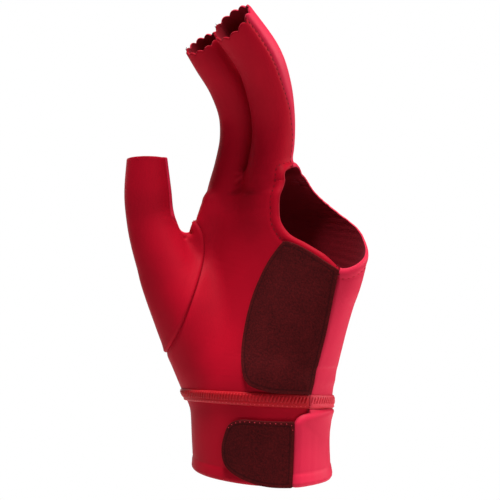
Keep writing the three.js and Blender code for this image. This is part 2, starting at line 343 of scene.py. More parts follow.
MIDDLE_SECTIONS = (
    (2.4, 8.0, 60, 16, 16),
    (1.6, 8.2, 80, 22, 27),
    (1.2, 4.2, 98, 19.4, 18.8),
    (2.6, 5.2, 112, 18.6, 18.2),
    (3.6, 3.8, 124, 19, 18.4),
    (4.6, -1.2, 137, 20, 19),
    (4.5, -8.8, 149, 20.4, 19.2),
    (0.1, -21.9, 164.0, 21.2, 18.0),
)
THUMB_SECTIONS = (
    (-12.0, -1.0, 0, 24, 18),
    (-19.0, -5.0, 13, 36, 31),
    (-25.0, -9.2, 24, 35, 33),
    (-30.4, -13.5, 38, 32.6, 31),
    (-37.0, -18.0, 54, 27, 26),
    (-42.1, -21.5, 69, 23.2, 22),
    (-44.4, -23.1, 80, 21.6, 20),
    (-44.7, -24.2, 91, 21.2, 19.4),
    (-43.8, -25.7, 106, 18.0, 16.6),
)
WEB_SECTIONS = (
    (-16.0, -4.0, 26, 20, 16),
    (-24.0, -7.0, 42, 36, 17),
    (-28.5, -9.0, 54, 40, 15),
    (-30.5, -9.8, 61, 38, 11),
    (-31.2, -10.2, 65.5, 34, 9),
    (-31.5, -10.4, 68.5, 29, 7),
)
FOLD_SECTIONS = (
    (-24.0, -6.0, 58, 22, 10),
    (-24.0, -6.0, 66, 22, 9),
    (-24.0, -6.0, 72, 19, 8.5),
    (-24.0, -6.0, 76, 16, 8),
    (-24.0, -6.0, 80, 11, 7.5),
    (-24.0, -6.0, 86, 6, 6),
)
WEB_TURN = 45.0


# Cloth as a mesh of points, normals and named distances

# Most corners that a face may have
FACE_CORNERS = 8
# How near to a line the points of an edge along it lie
EDGE_TOLERANCE = 0.06
# How near to an edge's end, as a share of the edge, it may be cut
LEAST_SHARE = 0.03
# Widest gap over which a run of points still counts as closed
LOOP_GAP = 1.5
# Fewest stretches of an evened line
LEAST_STRETCHES = 4


@dataclass
class Cloth:
    """A sheet without thickness, whose points carry a normal and a distance from each line of the pattern.

    Attributes:
        points: places in millimetres.
        normals: unit normals, out of the glove.
        values: signed distances by name, in millimetres.
        faces: corner numbers, counterclockwise from outside, filled up with -1.
    """

    points: np.ndarray
    normals: np.ndarray
    values: dict[str, np.ndarray]
    faces: np.ndarray

    def keep(self, name: str, sign: float = 1.0, above: float = 0.0) -> "Cloth":
        """Cuts the sheet along a line of the pattern.

        Args:
            name: the distance that is read.
            sign: -1 to keep the other side.
            above: the distance at which it is cut.

        Returns:
            The side where the distance is larger.
        """
        value = sign * (self.values[name] - above)
        filled = self.faces >= 0
        inside = (value >= 0)[self.faces] & filled
        count, corners = inside.sum(1), filled.sum(1)
        whole = self.faces[count == corners]
        firsts: list[int] = []
        seconds: list[int] = []
        shares: list[float] = []
        numbers: dict[tuple[int, int], int] = {}

        def crossing(a: int, b: int) -> int:
            """Number of the new point between two points on different sides."""
            key = pair(a, b)
            if key not in numbers:
                share = value[key[0]] / (value[key[0]] - value[key[1]])
                numbers[key] = len(value) + len(firsts)
                firsts.append(key[0])
                seconds.append(key[1])
                shares.append(min(max(share, LEAST_SHARE), 1 - LEAST_SHARE))
            return numbers[key]

        clipped = []
        for face in self.faces[(count > 0) & (count < corners)]:
            ring = [int(v) for v in face if v >= 0]
            made = []
            for here, then in zip(ring, ring[1:] + ring[:1]):
                if value[here] >= 0:
                    made.append(here)
                if (value[here] >= 0) != (value[then] >= 0):
                    made.append(crossing(here, then))
            clipped.append(made + [-1] * (FACE_CORNERS - len(made)))
        faces = np.vstack([whole, np.array(clipped, int).reshape(-1, FACE_CORNERS)])
        a, b, t = np.array(firsts, int), np.array(seconds, int), np.array(shares)
        mixed = {k: np.concatenate([v, between(v[a], v[b], t)]) for k, v in self.values.items()}
        mixed[name][len(value) :] = above
        t = t[:, None]
        return Cloth(
            np.vstack([self.points, between(self.points[a], self.points[b], t)]),
            unit(np.vstack([self.normals, between(self.normals[a], self.normals[b], t)])),
            mixed,
            faces,
        ).packed()

    def packed(self) -> "Cloth":
        """The same sheet without the points that no face uses."""
        used = np.unique(self.faces[self.faces >= 0])
        number = np.full(len(self.points) + 1, -1)
        number[used] = np.arange(len(used))
        values = {k: v[used] for k, v in self.values.items()}
        return Cloth(self.points[used], self.normals[used], values, number[self.faces])

    def refined(self) -> "Cloth":
        """The same sheet with each face cut into as many quads as it has corners."""
        corners = [tuple(int(v) for v in face if v >= 0) for face in self.faces]
        pairs: dict[tuple[int, int], int] = {}
        first_edge = len(self.points)
        for ring in corners:
            for a, b in zip(ring, ring[1:] + ring[:1]):
                pairs.setdefault(pair(a, b), first_edge + len(pairs))
        first_face = first_edge + len(pairs)
        ends = np.array(list(pairs), int)
        faces = []
        for number, ring in enumerate(corners):
            for before, here, then in zip(ring[-1:] + ring[:-1], ring, ring[1:] + ring[:1]):
                ahead = pairs[pair(here, then)]
                behind = pairs[pair(before, here)]
                faces.append((here, ahead, first_face + number, behind) + (-1,) * (FACE_CORNERS - 4))

        def spread(data: np.ndarray) -> np.ndarray:
            """A value of the points, with its means on edges and faces."""
            edges = (data[ends[:, 0]] + data[ends[:, 1]]) / 2
            filled = (self.faces >= 0).astype(float)
            total = (data[self.faces].T * filled.T).T.sum(1)
            middles = (total.T / filled.sum(1)).T
            return np.concatenate([data, edges, middles])

        points = np.column_stack([spread(self.points[:, k]) for k in range(3)])
        normals = unit(np.column_stack([spread(self.normals[:, k]) for k in range(3)]))
        return Cloth(points, normals, {k: spread(v) for k, v in self.values.items()}, np.array(faces))

    def border(self) -> np.ndarray:
        """Edges with cloth on one side only, as pairs of points with the cloth to their left."""
        pairs = []
        for k in range(FACE_CORNERS):
            here = self.faces[:, k]
            then = self.faces[:, (k + 1) % FACE_CORNERS]
            last = then < 0
            then = np.where(last, self.faces[:, 0], then)
            pairs.append(np.column_stack([here, then])[here >= 0])
        edges = np.vstack(pairs)
        size = len(self.points)
        forward = edges[:, 0] * size + edges[:, 1]
        backward = edges[:, 1] * size + edges[:, 0]
        return edges[~np.isin(forward, backward)]

    def edge_along(self, name: str, at: float = 0.0, least: int = 8) -> list["Path"]:
        """Runs of the border that follow a line of the pattern.

        Args:
            name: the distance that is read.
            at: the distance on that line.
            least: runs with fewer points are left out.

        Returns:
            One path for each run, with the cloth to its left.
        """
        value = np.abs(self.values[name] - at)
        border = self.border()
        border = border[(value[border] < EDGE_TOLERANCE).all(1)]
        after = {int(a): int(b) for a, b in border}
        starts = [a for a in after if a not in set(after.values())]
        runs = []
        seen: set[int] = set()
        for start in starts + list(after):
            if start in seen:
                continue
            run = [start]
            seen.add(start)
            while run[-1] in after and after[run[-1]] not in seen:
                run.append(after[run[-1]])
                seen.add(run[-1])
            if len(run) < least:
                continue
            gap = float(np.linalg.norm(self.points[run[-1]] - self.points[run[0]]))
            closed = after.get(run[-1]) == run[0] or gap < LOOP_GAP
            runs.append(Path(self.points[run], self.normals[run], closed))
        return sorted(runs, key=lambda run: -run.length())

    def line(self, name: str, at: float, sign: float) -> list["Path"]:
        """Runs of a line of the pattern across the sheet, with the kept side to their left."""
        return self.keep(name, sign, at).edge_along(name, at)

    def area(self) -> float:
        """Area of the sheet in square millimetres."""
        total = 0.0
        first = self.points[self.faces[:, 0]]
        for k in range(1, FACE_CORNERS - 1):
            real = self.faces[:, k + 1] >= 0
            b = self.points[self.faces[:, k]] - first
            c = self.points[self.faces[:, k + 1]] - first
            total += (np.linalg.norm(np.cross(b, c), axis=1) * real).sum() / 2
        return float(total)


@dataclass
class Path:
    """A line on the glove with the glove's normal at each of its points.

    Attributes:
        points: places in millimetres.
        normals: unit normals of the glove there.
        closed: whether the last point joins the first.
    """

    points: np.ndarray
    normals: np.ndarray
    closed: bool = False

    def length(self) -> float:
        """Length of the line in millimetres."""
        ends = np.roll(self.points, -1, axis=0) if self.closed else self.points[1:]
        starts = self.points if self.closed else self.points[:-1]
        return float(np.linalg.norm(ends - starts, axis=1).sum())

    def even(self, step: float, rounds: int = 6) -> "Path":
        """The same line with its points smoothed and an even distance apart.

        Args:
            step: distance between points, which is adjusted to fit a whole number.
            rounds: rounds of smoothing.

        Returns:
            The new path.
        """
        points, normals = self.points.copy(), self.normals.copy()
        for _ in range(rounds):
            for data in (points, normals):
                middle = (np.roll(data, 1, axis=0) + np.roll(data, -1, axis=0)) / 2
                if self.closed:
                    data += (middle - data) / 2
                else:
                    data[1:-1] += (middle - data)[1:-1] / 2
        if self.closed:
            points = np.vstack([points, points[:1]])
            normals = np.vstack([normals, normals[:1]])
        run = np.concatenate([[0.0], np.cumsum(np.linalg.norm(np.diff(points, axis=0), axis=1))])
        count = max(LEAST_STRETCHES, round(run[-1] / step))
        at = np.linspace(0.0, run[-1], count + 1)
        at = at[:-1] if self.closed else at
        columns = [np.interp(at, run, data[:, k]) for data in (points, normals) for k in range(3)]
        table = np.column_stack(columns)
        return Path(table[:, :3], unit(table[:, 3:]), self.closed)

    def frames(self) -> tuple[np.ndarray, np.ndarray]:
        """Direction of the line at each point, and the direction to its right on the glove."""
        if self.closed:
            along = np.roll(self.points, -1, axis=0) - np.roll(self.points, 1, axis=0)
        else:
            along = np.gradient(self.points, axis=0)
        along = unit(along - self.normals * dot(along, self.normals)[:, None])
        return along, np.cross(along, self.normals)

    def moved(self, right: float, up: float) -> "Path":
        """The same line, moved to its right and out of the glove."""
        _, side = self.frames()
        return Path(self.points + right * side + up * self.normals, self.normals, self.closed)

    def part(self, wanted: np.ndarray) -> "Path":
        """The longest unbroken run of wanted points, as an open path."""
        if wanted.all():
            return self
        count = len(wanted)
        order = np.arange(count)
        if self.closed:
            order = np.roll(order, -int(np.argmin(wanted)))
        best: list[int] = []
        run: list[int] = []
        for number in order:
            run = run + [int(number)] if wanted[number] else []
            best = run if len(run) > len(best) else best
        return Path(self.points[best], self.normals[best], False)


# Lines of the pattern


@dataclass(frozen=True)
class Level:
    """A slanted line round the wrist.

    Attributes:
        height: its height.
        front: its rise for each millimetre to the front.
        right: its rise for each millimetre to the right.
    """

    height: float
    front: float
    right: float

    def above(self, points: np.ndarray) -> np.ndarray:
        """Height of points over the line."""
        return points[:, 2] - self.height - self.front * (points @ TOWARDS) - self.right * (points @ ACROSS)


@dataclass(frozen=True)
class Outline:
    """A closed outline seen square on from the facing turn.

    Attributes:
        corners: u to the right, z up, and rounding of each corner.
        curve_steps: stretches that a rounded corner is cut into.
    """

    corners: tuple[tuple[float, float, float], ...]
    curve_steps: int = 6

    def polygon(self) -> np.ndarray:
        """Points of the outline with its corners rounded."""
        table = np.array(self.corners, float)
        made = []
        for i, (u, z, rounding) in enumerate(table):
            corner = np.array([u, z])
            before, after = table[i - 1, :2], table[(i + 1) % len(table), :2]
            start = corner + (before - corner) * min(0.5, rounding / np.linalg.norm(before - corner))
            end = corner + (after - corner) * min(0.5, rounding / np.linalg.norm(after - corner))
            steps = self.curve_steps if rounding else 0
            for t in np.linspace(0, 1, steps + 1):
                made.append((1 - t) ** 2 * start + 2 * t * (1 - t) * corner + t * t * end)
        return np.array(made)

    def inside(self, points: np.ndarray) -> np.ndarray:
        """Distance inside the outline, negative outside."""
        flat = np.column_stack([points @ ACROSS, points[:, 2]])
        ring = self.polygon()
        nearest = np.full(len(flat), np.inf)
        odd = np.zeros(len(flat), bool)
        for a, b in zip(ring, np.roll(ring, -1, axis=0)):
            edge = b - a
            share = np.clip((flat - a) @ edge / max(edge @ edge, TINY), 0, 1)
            nearest = np.minimum(nearest, np.linalg.norm(flat - a - share[:, None] * edge, axis=1))
            if a[1] != b[1]:
                spans = (a[1] > flat[:, 1]) != (b[1] > flat[:, 1])
                odd ^= spans & (flat[:, 0] < a[0] + (flat[:, 1] - a[1]) * edge[0] / edge[1])
        return np.where(odd, nearest, -nearest)


@dataclass(frozen=True)
class Pattern:
    """Every line that the glove is cut and sewn along."""

    band_top: Level = Level(2.7, 0.13, -0.04)
    wrist: Level = Level(0.4, 0.13, -0.04)
    band_low: Level = Level(-2.7, 0.12, -0.05)
    hem: Level = Level(-32.2, -0.04, 0.0)
    thumb: Outline = Outline(
        (
            (-54, 0, 0),
            (-35.3, 31, 8),
            (-28.5, 47.6, 10),
            (-24.6, 62, 10),
            (-25.6, 74, 6),
            (-33, 81, 5),
            (-34, 140, 0),
            (-120, 140, 0),
            (-120, 0, 0),
        )
    )
    pad: Outline = Outline(
        (
            (3.4, 60.5, 6),
            (10.4, 70.0, 2.5),
            (17.4, 67.6, 5),
            (26.2, 62.0, 5),
            (34.4, 56.6, 1),
            (30.5, 33, 8),
            (20, 3, 1.5),
            (-6.6, 9.4, 5),
            (-8.4, 22, 10),
            (-4, 44, 10),
        )
    )
    tab: Outline = Outline(
        (
            (13.4, -5.8, 0),
            (-8.7, -5.4, 3),
            (-13.2, -7.6, 3),
            (-16.2, -17, 8),
            (-15.5, -25.5, 5),
            (-10, -30, 5),
            (1, -33.4, 6),
            (12.6, -33.6, 0),
        )
    )
    strap: Outline = Outline(
        (
            (12.2, -50, 0),
            (13.2, -18, 4),
            (13.4, -3.4, 5),
            (24, -2, 0),
            (90, 20, 0),
            (90, -50, 0),
        )
    )
    near_depth: float = 5.0
    # x of the seam's columns, then rows of z and the y where palm cloth meets back cloth in each column
    seam_columns: tuple[float, ...] = (-34, -19, -8, 11, 42)
    seam_rows: tuple[tuple[float, ...], ...] = (
        (-90, -1, -2, -4, -6.5, -9),
        (4, -1, -2, -4, -6.5, -9),
        (32, 1, 0, -1, -2.7, -5.4),
        (57, 3, 2, 1.5, 0, -3.5),
        (80, 3, 2, 3, 2.8, 2),
        (98, 3, 3, 6, 5, 2),
        (106, 3.8, 4, 8, 7.5, 3),
        (114, 4.5, 4.5, 9, 8, 3),
        (126, 2.5, 2.5, 7, 4, 1),
        (138, -4.5, -4.5, 0, -4.0, -4.5),
        (149, -13, -13, -8, -11.5, -11.5),
        (158, -19.5, -19.5, -14, -18.5, -18.5),
        (166, -26, -26, -20, -26, -26),
        (220, -60, -60, -60, -60, -60),
    )
    # Where back cloth begins on the thumb: x and z, and height over the thumb's middle line there
    thumb_back_rows: tuple[tuple[float, float], ...] = (
        (0, 12.5),
        (14, 11.0),
        (40, 6.0),
        (60, 3.0),
        (75, 2.6),
        (90, 3.2),
        (130, 2.4),
    )
    # How steeply that seam falls back over the web beside the thumb, from which offset across, and the
    # heights between which it begins to
    web_slope: float = 4.5
    web_from: float = 8.5
    web_heights: tuple[float, float] = (80.0, 74.0)
    # Each row: x and z where the edge of the open side crosses the palm, and where it crosses the back
    open_rows: tuple[tuple[float, ...], ...] = (
        (17, 114, 15, 116),
        (15, 108.6, 13.4, 110.8),
        (14, 104, 12.6, 106),
        (13.8, 99.6, 12.3, 101.6),
        (14.3, 95.6, 12.7, 97.8),
        (13.9, 91.8, 13.8, 94.6),
        (13.2, 88, 15.8, 91.4),
        (12.7, 83.6, 20, 87.6),
        (13.0, 77.4, 28, 82.7),
        (18.2, 71.5, 34.2, 80),
        (26.4, 67.9, 40, 77.3),
        (34.4, 63.5, 43.5, 75.2),
        (38.9, 59.4, 46.5, 73),
        (42, 53.6, 52, 71.8),
        (47, 51.8, 56.5, 71.2),
        (57, 50.2, 64, 70.6),
        (80, 46.2, 80, 69.2),
    )
    open_steps: int = 3
    open_run_on: float = 90.0
    palm_face: float = -14.0
    back_face: float = 28.0

    def behind_seam(self, points: np.ndarray) -> np.ndarray:
        """Distance behind the side seams, towards the back of the glove."""
        rows = np.array(self.seam_rows)
        columns = self.seam_columns
        depths = [np.interp(points[:, 2], rows[:, 0], rows[:, k + 1]) for k in range(len(columns))]
        seam = depths[0]
        for k in range(len(columns) - 1):
            share = np.clip((points[:, 0] - columns[k]) / (columns[k + 1] - columns[k]), 0, 1)
            seam = seam + (depths[k + 1] - depths[k]) * share
        return points[:, 1] - seam

    def behind_thumb(self, thumb: Limb, points: np.ndarray) -> np.ndarray:
        """Distance behind the side seam of the thumb sleeve."""
        across, deep, *_ = thumb.place(points, thumb.nearest(points))
        heights, rise = zip(*self.thumb_back_rows)
        seam = np.interp(points[:, 2], heights, rise)
        steep = self.web_slope * smooth(*self.web_heights, points[:, 2])
        return deep - seam - steep * np.maximum(across - self.web_from, 0.0)

    def covered(self, points: np.ndarray) -> np.ndarray:
        """Distance from the edge of the open side, negative in the opening."""
        rows = spline(np.array(self.open_rows, float), self.open_steps)
        first = rows[0] + self.open_run_on * np.array([0.0, 1.0, 0.0, 1.0])
        rows = np.vstack([first, rows])
        depth = np.clip((points[:, 1] - self.palm_face) / (self.back_face - self.palm_face), 0, 1)[:, None]
        flat = points[:, [0, 2]]
        nearest = np.full(len(points), np.inf)
        side = np.ones(len(points))
        for low, high in zip(rows, rows[1:]):
            a = between(low[:2], low[2:], depth)
            edge = between(high[:2], high[2:], depth) - a
            share = np.clip(((flat - a) * edge).sum(1) / np.maximum((edge**2).sum(1), TINY), 0, 1)
            gap = flat - a - share[:, None] * edge
            far = np.linalg.norm(gap, axis=1)
            cross = edge[:, 0] * (flat - a)[:, 1] - edge[:, 1] * (flat - a)[:, 0]
            better = far < nearest
            nearest[better] = far[better]
            side[better] = -np.sign(cross[better])
        return nearest * side


# The skin of the glove: the limbs flowed together, then cut along the pattern

# Heights between which the two fingers are moved apart while they are joined, and how far each is moved
PART_FROM = 99.0
PART_TO = 110.0
PART_SHIFT = 2.2
# Height from which a point belongs to one finger only
LABEL_FROM = 104.0
# Rounds in which points are evened out, and rounds in which they are only moved on to the form
RELAX_ROUNDS = 8
SETTLE_ROUNDS = 2
# Least squared slope and longest step of such a move
LEAST_SQUARE = 0.3
LONGEST_STEP = 0.8


@dataclass
class GloveForm:
    """What the glove is stretched over, as limbs that flow into each other.

    Attributes:
        palm: palm and wrist.
        web: the thin part between thumb and palm.
        thumb: inside of the thumb sleeve.
        index: inside of the index sleeve.
        middle: inside of the middle sleeve.
        fold: edge of the palm over the web.
        finger_blend: how softly the two fingers flow into the palm, in millimetres.
        thumb_blend: how softly thumb and web flow into the palm, above and below the thumb's crotch.
        crotch: heights between which the one passes into the other.
        grain: size of the skin's faces.
    """

    palm: Limb = Limb(PALM_SECTIONS)
    web: Limb = Limb(WEB_SECTIONS, WEB_TURN)
    thumb: Limb = Limb(THUMB_SECTIONS, reach=SLEEVE_REACH)
    index: Limb = Limb(INDEX_SECTIONS, reach=SLEEVE_REACH)
    middle: Limb = Limb(MIDDLE_SECTIONS, reach=SLEEVE_REACH)
    fold: Limb = Limb(FOLD_SECTIONS, WEB_TURN)
    finger_blend: float = 5.0
    thumb_blend: tuple[float, float] = (3.0, 9.0)
    crotch: tuple[float, float] = (70.0, 50.0)
    grain: float = 0.7

    @staticmethod
    def flow(a: np.ndarray, b: np.ndarray, width: float | np.ndarray) -> np.ndarray:
        """Joined distance of two forms that flow into each other over a width."""
        share = np.maximum(width - np.abs(a - b), 0.0) / width
        return np.minimum(a, b) - share**2 * width / 4

    def limbs(self) -> tuple[Limb, ...]:
        """All limbs in a fixed order."""
        return self.palm, self.web, self.thumb, self.index, self.middle, self.fold

    def distance(self, points: np.ndarray, near: list[np.ndarray], label: np.ndarray) -> np.ndarray:
        """Distance from the joined form.

        Args:
            points: the points.
            near: nearest stretch of each limb, in the order of limbs().
            label: 1 where only the index finger counts, 2 where only the middle finger does, else 0.

        Returns:
            Signed distances.
        """
        palm, web, thumb, index, middle, fold = (
            limb.distance(points, stretch) for limb, stretch in zip(self.limbs(), near)
        )
        index = np.where(label == 2, NEVER, index)
        middle = np.where(label == 1, NEVER, middle)
        sharp, soft = self.thumb_blend
        blend = sharp + (soft - sharp) * smooth(*self.crotch, points[:, 2])
        body = self.flow(self.flow(self.flow(palm, web, blend), fold, blend), thumb, blend)
        return self.flow(body, np.minimum(index, middle), self.finger_blend)

    def settle(self, points: np.ndarray, label: np.ndarray) -> tuple[np.ndarray, np.ndarray]:
        """Moves points on to the form.

        Args:
            points: points near it.
            label: as in distance.

        Returns:
            The moved points, and the unit normals there.
        """
        near = [limb.nearest(points) for limb in self.limbs()]
        here, slope = slopes(lambda places: self.distance(places, near, label), points)
        square = np.maximum((slope**2).sum(1), LEAST_SQUARE)
        step = np.clip(here / np.sqrt(square), -LONGEST_STEP, LONGEST_STEP)
        return points - unit(slope) * step[:, None], unit(slope)

    def tubes(self) -> tuple[np.ndarray, list[tuple[int, ...]]]:
        """All limbs as overlapping tubes, the two fingers held apart."""
        points, faces, base = [], [], 0
        for limb, sign in zip(self.limbs(), (0, 0, 0, -1, 1, 0)):
            shift = sign * PART_SHIFT * smooth(PART_FROM, PART_TO, limb.centre[:, 2])
            some, rings = limb.tube(shift)
            points.append(some)
            faces += [tuple(v + base for v in ring) for ring in rings]
            base += len(some)
        return np.vstack(points), faces

    def labelled(self, points: np.ndarray) -> tuple[np.ndarray, np.ndarray]:
        """Takes back the shift that held the two fingers apart.

        Args:
            points: points of the joined tubes.

        Returns:
            The points where they belong, and the label of each.
        """
        shift = PART_SHIFT * smooth(PART_FROM, PART_TO, points[:, 2])[:, None] * np.array([1.0, 0, 0])
        gaps = [
            np.minimum(np.abs(self.palm.distance(points)), np.abs(self.thumb.distance(points))),
            np.abs(self.index.distance(points + shift)),
            np.abs(self.middle.distance(points - shift)),
        ]
        choice = np.argmin(gaps, axis=0)
        points = points + shift * (choice == 1)[:, None] - shift * (choice == 2)[:, None]
        return points, np.where(points[:, 2] > LABEL_FROM, choice, 0)

    def skin(self) -> Cloth:
        """Skin of the whole form as one even mesh."""
        points, faces = self.tubes()
        mesh = mesh_of("tubes", points, faces)
        tubes = put("tubes", mesh)
        remesh = tubes.modifiers.new("even", "REMESH")
        remesh.mode = "VOXEL"
        remesh.voxel_size = self.grain
        remesh.adaptivity = 0.0
        joined = tubes.evaluated_get(bpy.context.evaluated_depsgraph_get()).to_mesh()
        points = np.zeros(len(joined.vertices) * 3)
        joined.vertices.foreach_get("co", points)
        points = points.reshape(-1, 3)
        rings = [tuple(face.vertices) for face in joined.polygons]
        bpy.data.objects.remove(tubes)
        bpy.data.meshes.remove(mesh)
        faces = np.full((len(rings), FACE_CORNERS), -1)
        for number, ring in enumerate(rings):
            faces[number, : len(ring)] = ring
        points, label = self.labelled(points)
        quads = faces[faces[:, 3] >= 0][:, :4]
        edges = np.vstack([quads[:, [0, 1]], quads[:, [1, 2]], quads[:, [2, 3]], quads[:, [3, 0]]])
        ends = np.concatenate([edges[:, 0], edges[:, 1]])
        others = np.concatenate([edges[:, 1], edges[:, 0]])
        share = np.maximum(np.bincount(ends, minlength=len(points)), 1)[:, None]
        for _ in range(RELAX_ROUNDS):
            middle = np.column_stack([np.bincount(ends, points[others, k], len(points)) for k in range(3)])
            points = points + (middle / share - points) / 2
            points, _ = self.settle(points, label)
        for _ in range(SETTLE_ROUNDS):
            points, normals = self.settle(points, label)
        return Cloth(points, normals, {}, faces)


# Lines of the pattern as distances measured on the cloth

# Least slope along the cloth that a distance is divided by
LEAST_SLOPE = 0.35
# Height from which the hem of the open side fades out, the height over which it does, and the distance that
# is added to its edge's so that it does
OPENING_TOP = 102.5
OPENING_BLEND = 4.0
OPENING_FADE = 12.0
# Number of the thumb in limbs(), which those of index and middle finger follow
FIRST_SLEEVE = 2
# Shape of a wave in a sleeve's end, and the level about which it rises and falls
WAVE_ROUNDNESS = 0.7
WAVE_MIDDLE = 0.6
# How much shallower a crease is at its ends, and how high the cloth rises beside it
CREASE_END_FADE = 0.6
CREASE_SIDE_RISE = 0.7


@dataclass(frozen=True)
class SleeveEnd:
    """Slanted cut of a sleeve's end, which may be waved.

    Attributes:
        base: height of the cut past the limb's last section.
        across: its rise towards the open side of the glove.
        palm: its rise towards the back of the glove, on the palm side.
        back: the same on the back.
        count: waves round the sleeve.
        depth: height of a wave.
        shift: turn of the first wave, in radians.
    """

    base: float
    across: float
    palm: float
    back: float
    count: int = 0
    depth: float = 0.0
    shift: float = 0.0

    def height(self, turn: np.ndarray) -> np.ndarray:
        """Height of the cut at each turn round the sleeve."""
        deep = np.sin(turn)
        slant = self.base + self.across * np.cos(turn) + np.where(deep < 0, self.palm, self.back) * deep
        wave = np.abs(np.cos((turn + self.shift) * self.count / 2))
        return slant + self.depth * (wave**WAVE_ROUNDNESS - WAVE_MIDDLE)


@dataclass(frozen=True)
class Crease:
    """A shallow fold line on the cloth.

    Attributes:
        start: one end.
        end: the other end.
        depth: depth of the fold, negative for a ridge.
        width: half width of the fold.
    """

    start: tuple[float, float, float]
    end: tuple[float, float, float]
    depth: float
    width: float

    def height(self, points: np.ndarray) -> np.ndarray:
        """Height that the crease adds at each point."""
        a, b = np.array(self.start), np.array(self.end)
        share = (points - a) @ (b - a) / ((b - a) @ (b - a))
        inside = np.clip(share, 0, 1)
        far = np.linalg.norm(points - a - inside[:, None] * (b - a), axis=1) / self.width
        fade = 1 - CREASE_END_FADE * np.abs(2 * inside - 1) ** 2
        return -self.depth * fade * (1 - CREASE_SIDE_RISE * far**2) * np.exp(-(far**2))


def measured(
    line: Callable[[np.ndarray], np.ndarray],
    points: np.ndarray,
    normals: np.ndarray,
) -> np.ndarray:
    """Distance from a line of the pattern, measured along the cloth.

    Args:
        line: signed distance of points from a surface that cuts the cloth along the line.
        points: points of the cloth.
        normals: normals there.

    Returns:
        The signed distances.
    """
    here, slope = slopes(line, points)
    slope -= normals * dot(slope, normals)[:, None]
    return here / np.clip(np.linalg.norm(slope, axis=1), LEAST_SLOPE, None)


@dataclass
class Tailor:
    """Cuts the skin of the form along the pattern.

    Attributes:
        form: what the glove is stretched over.
        pattern: the lines of the glove.
        thumb_end: cut of the thumb sleeve's end.
        index_end: cut of the index sleeve's end.
        middle_end: cut of the middle sleeve's end.
        creases: fold lines of the cloth.
        reach: how far the skin is kept beyond the lines.
    """

    form: GloveForm
    pattern: Pattern
    thumb_end: SleeveEnd = SleeveEnd(base=-0.9, across=1.2, palm=-1.6, back=-0.6)
    index_end: SleeveEnd = SleeveEnd(-1.0, -0.3, 0.9, 0.5, count=12, depth=1.5, shift=0.25)
    middle_end: SleeveEnd = SleeveEnd(-1.6, 0.3, 2.6, 0.8, count=12, depth=1.5, shift=0.1)
    creases: tuple[Crease, ...] = (
        # Folds in the crotch of the two fingers
        Crease((-7.4, -1.7, 99.8), (-10.8, -1.3, 95.4), depth=0.9, width=1.0),
        Crease((-9.6, -1.4, 97.8), (-12.9, -2.2, 98.2), depth=0.5, width=0.8),
        Crease((-10.0, -1.3, 96.4), (-12.8, -1.8, 94.0), depth=0.5, width=0.9),
        # Pit and folds beside the thumb, and the seam's end that stands out there
        Crease((-30.8, -12.7, 73.0), (-28.9, -13.4, 72.0), depth=1.7, width=1.3),
        Crease((-30.0, -13.4, 71.2), (-31.5, -17.4, 69.0), depth=0.7, width=0.9),
        Crease((-31.2, -9.6, 79.6), (-29.4, -9.4, 75.6), depth=-1.4, width=1.0),
    )
    reach: float = 5.0

    @staticmethod
    def finger_end(limb: Limb, points: np.ndarray, own: np.ndarray, end: SleeveEnd) -> np.ndarray:
        """Distance before a sleeve's end.

        Args:
            limb: inside of the sleeve.
            points: points of the cloth.
            own: whether each point lies on that sleeve.
            end: cut of the end.

        Returns:
            The distances, large and positive off the sleeve.
        """
        before = end.height(limb.turn_round(points)) - limb.past_tip(points)
        return np.where(own, before, NEVER)

    def skin(self) -> Cloth:
        """The skin with every line of the pattern as a value."""
        skin = self.form.skin()
        owner = np.argmin([np.abs(limb.distance(skin.points)) for limb in self.form.limbs()], axis=0)
        pattern, points, normals = self.pattern, skin.points, skin.normals
        lines = {
            "band_top": pattern.band_top.above,
            "band_low": pattern.band_low.above,
            "wrist": pattern.wrist.above,
            "hem": pattern.hem.above,
            "side": pattern.behind_seam,
            "covered": pattern.covered,
            "thumb": pattern.thumb.inside,
            "pad": pattern.pad.inside,
            "tab": pattern.tab.inside,
            "strap": pattern.strap.inside,
            "thumb_back": lambda places: pattern.behind_thumb(self.form.thumb, places),
        }
        values = {name: measured(line, points, normals) for name, line in lines.items()}
        values["near"] = points @ TOWARDS - pattern.near_depth
        values["turn"] = np.degrees(self.form.palm.turn_round(points))
        values["cuff_back"] = np.maximum(values["side"], np.minimum(values["strap"], values["near"]))
        fingers = smooth(OPENING_TOP, OPENING_TOP + OPENING_BLEND, points[:, 2])
        values["opening"] = values["covered"] + OPENING_FADE * fingers
        ends = {"thumb_end": self.thumb_end, "index_end": self.index_end, "middle_end": self.middle_end}
        for number, (name, end) in enumerate(ends.items(), FIRST_SLEEVE):
            values[name] = self.finger_end(self.form.limbs()[number], points, owner == number, end)
        heights = sum((crease.height(points) for crease in self.creases), np.zeros(len(points)))
        skin = Cloth(points + heights[:, None] * normals, normals, values, skin.faces)
        for name in ("hem", "covered", "thumb_end", "index_end", "middle_end"):
            skin = skin.keep(name, above=-self.reach)
        return skin

    def loop(self, skin: Cloth, level: Level) -> Path:
        """Closed path round the wrist at a level, with the finger sleeves to its left."""
        value = level.above(skin.points)
        lined = Cloth(skin.points, skin.normals, {**skin.values, "loop": value}, skin.faces)
        return lined.keep("loop").edge_along("loop")[0]


# Closed meshes and the objects made of them

# How far a cloth's edge bulges out, and how deep its two rings of points lie, as shares of the thickness
RIM_BULGE = 0.1
RIM_SHARE = 0.2
STITCH_RINGS = 7
STITCH_SIDES = 6


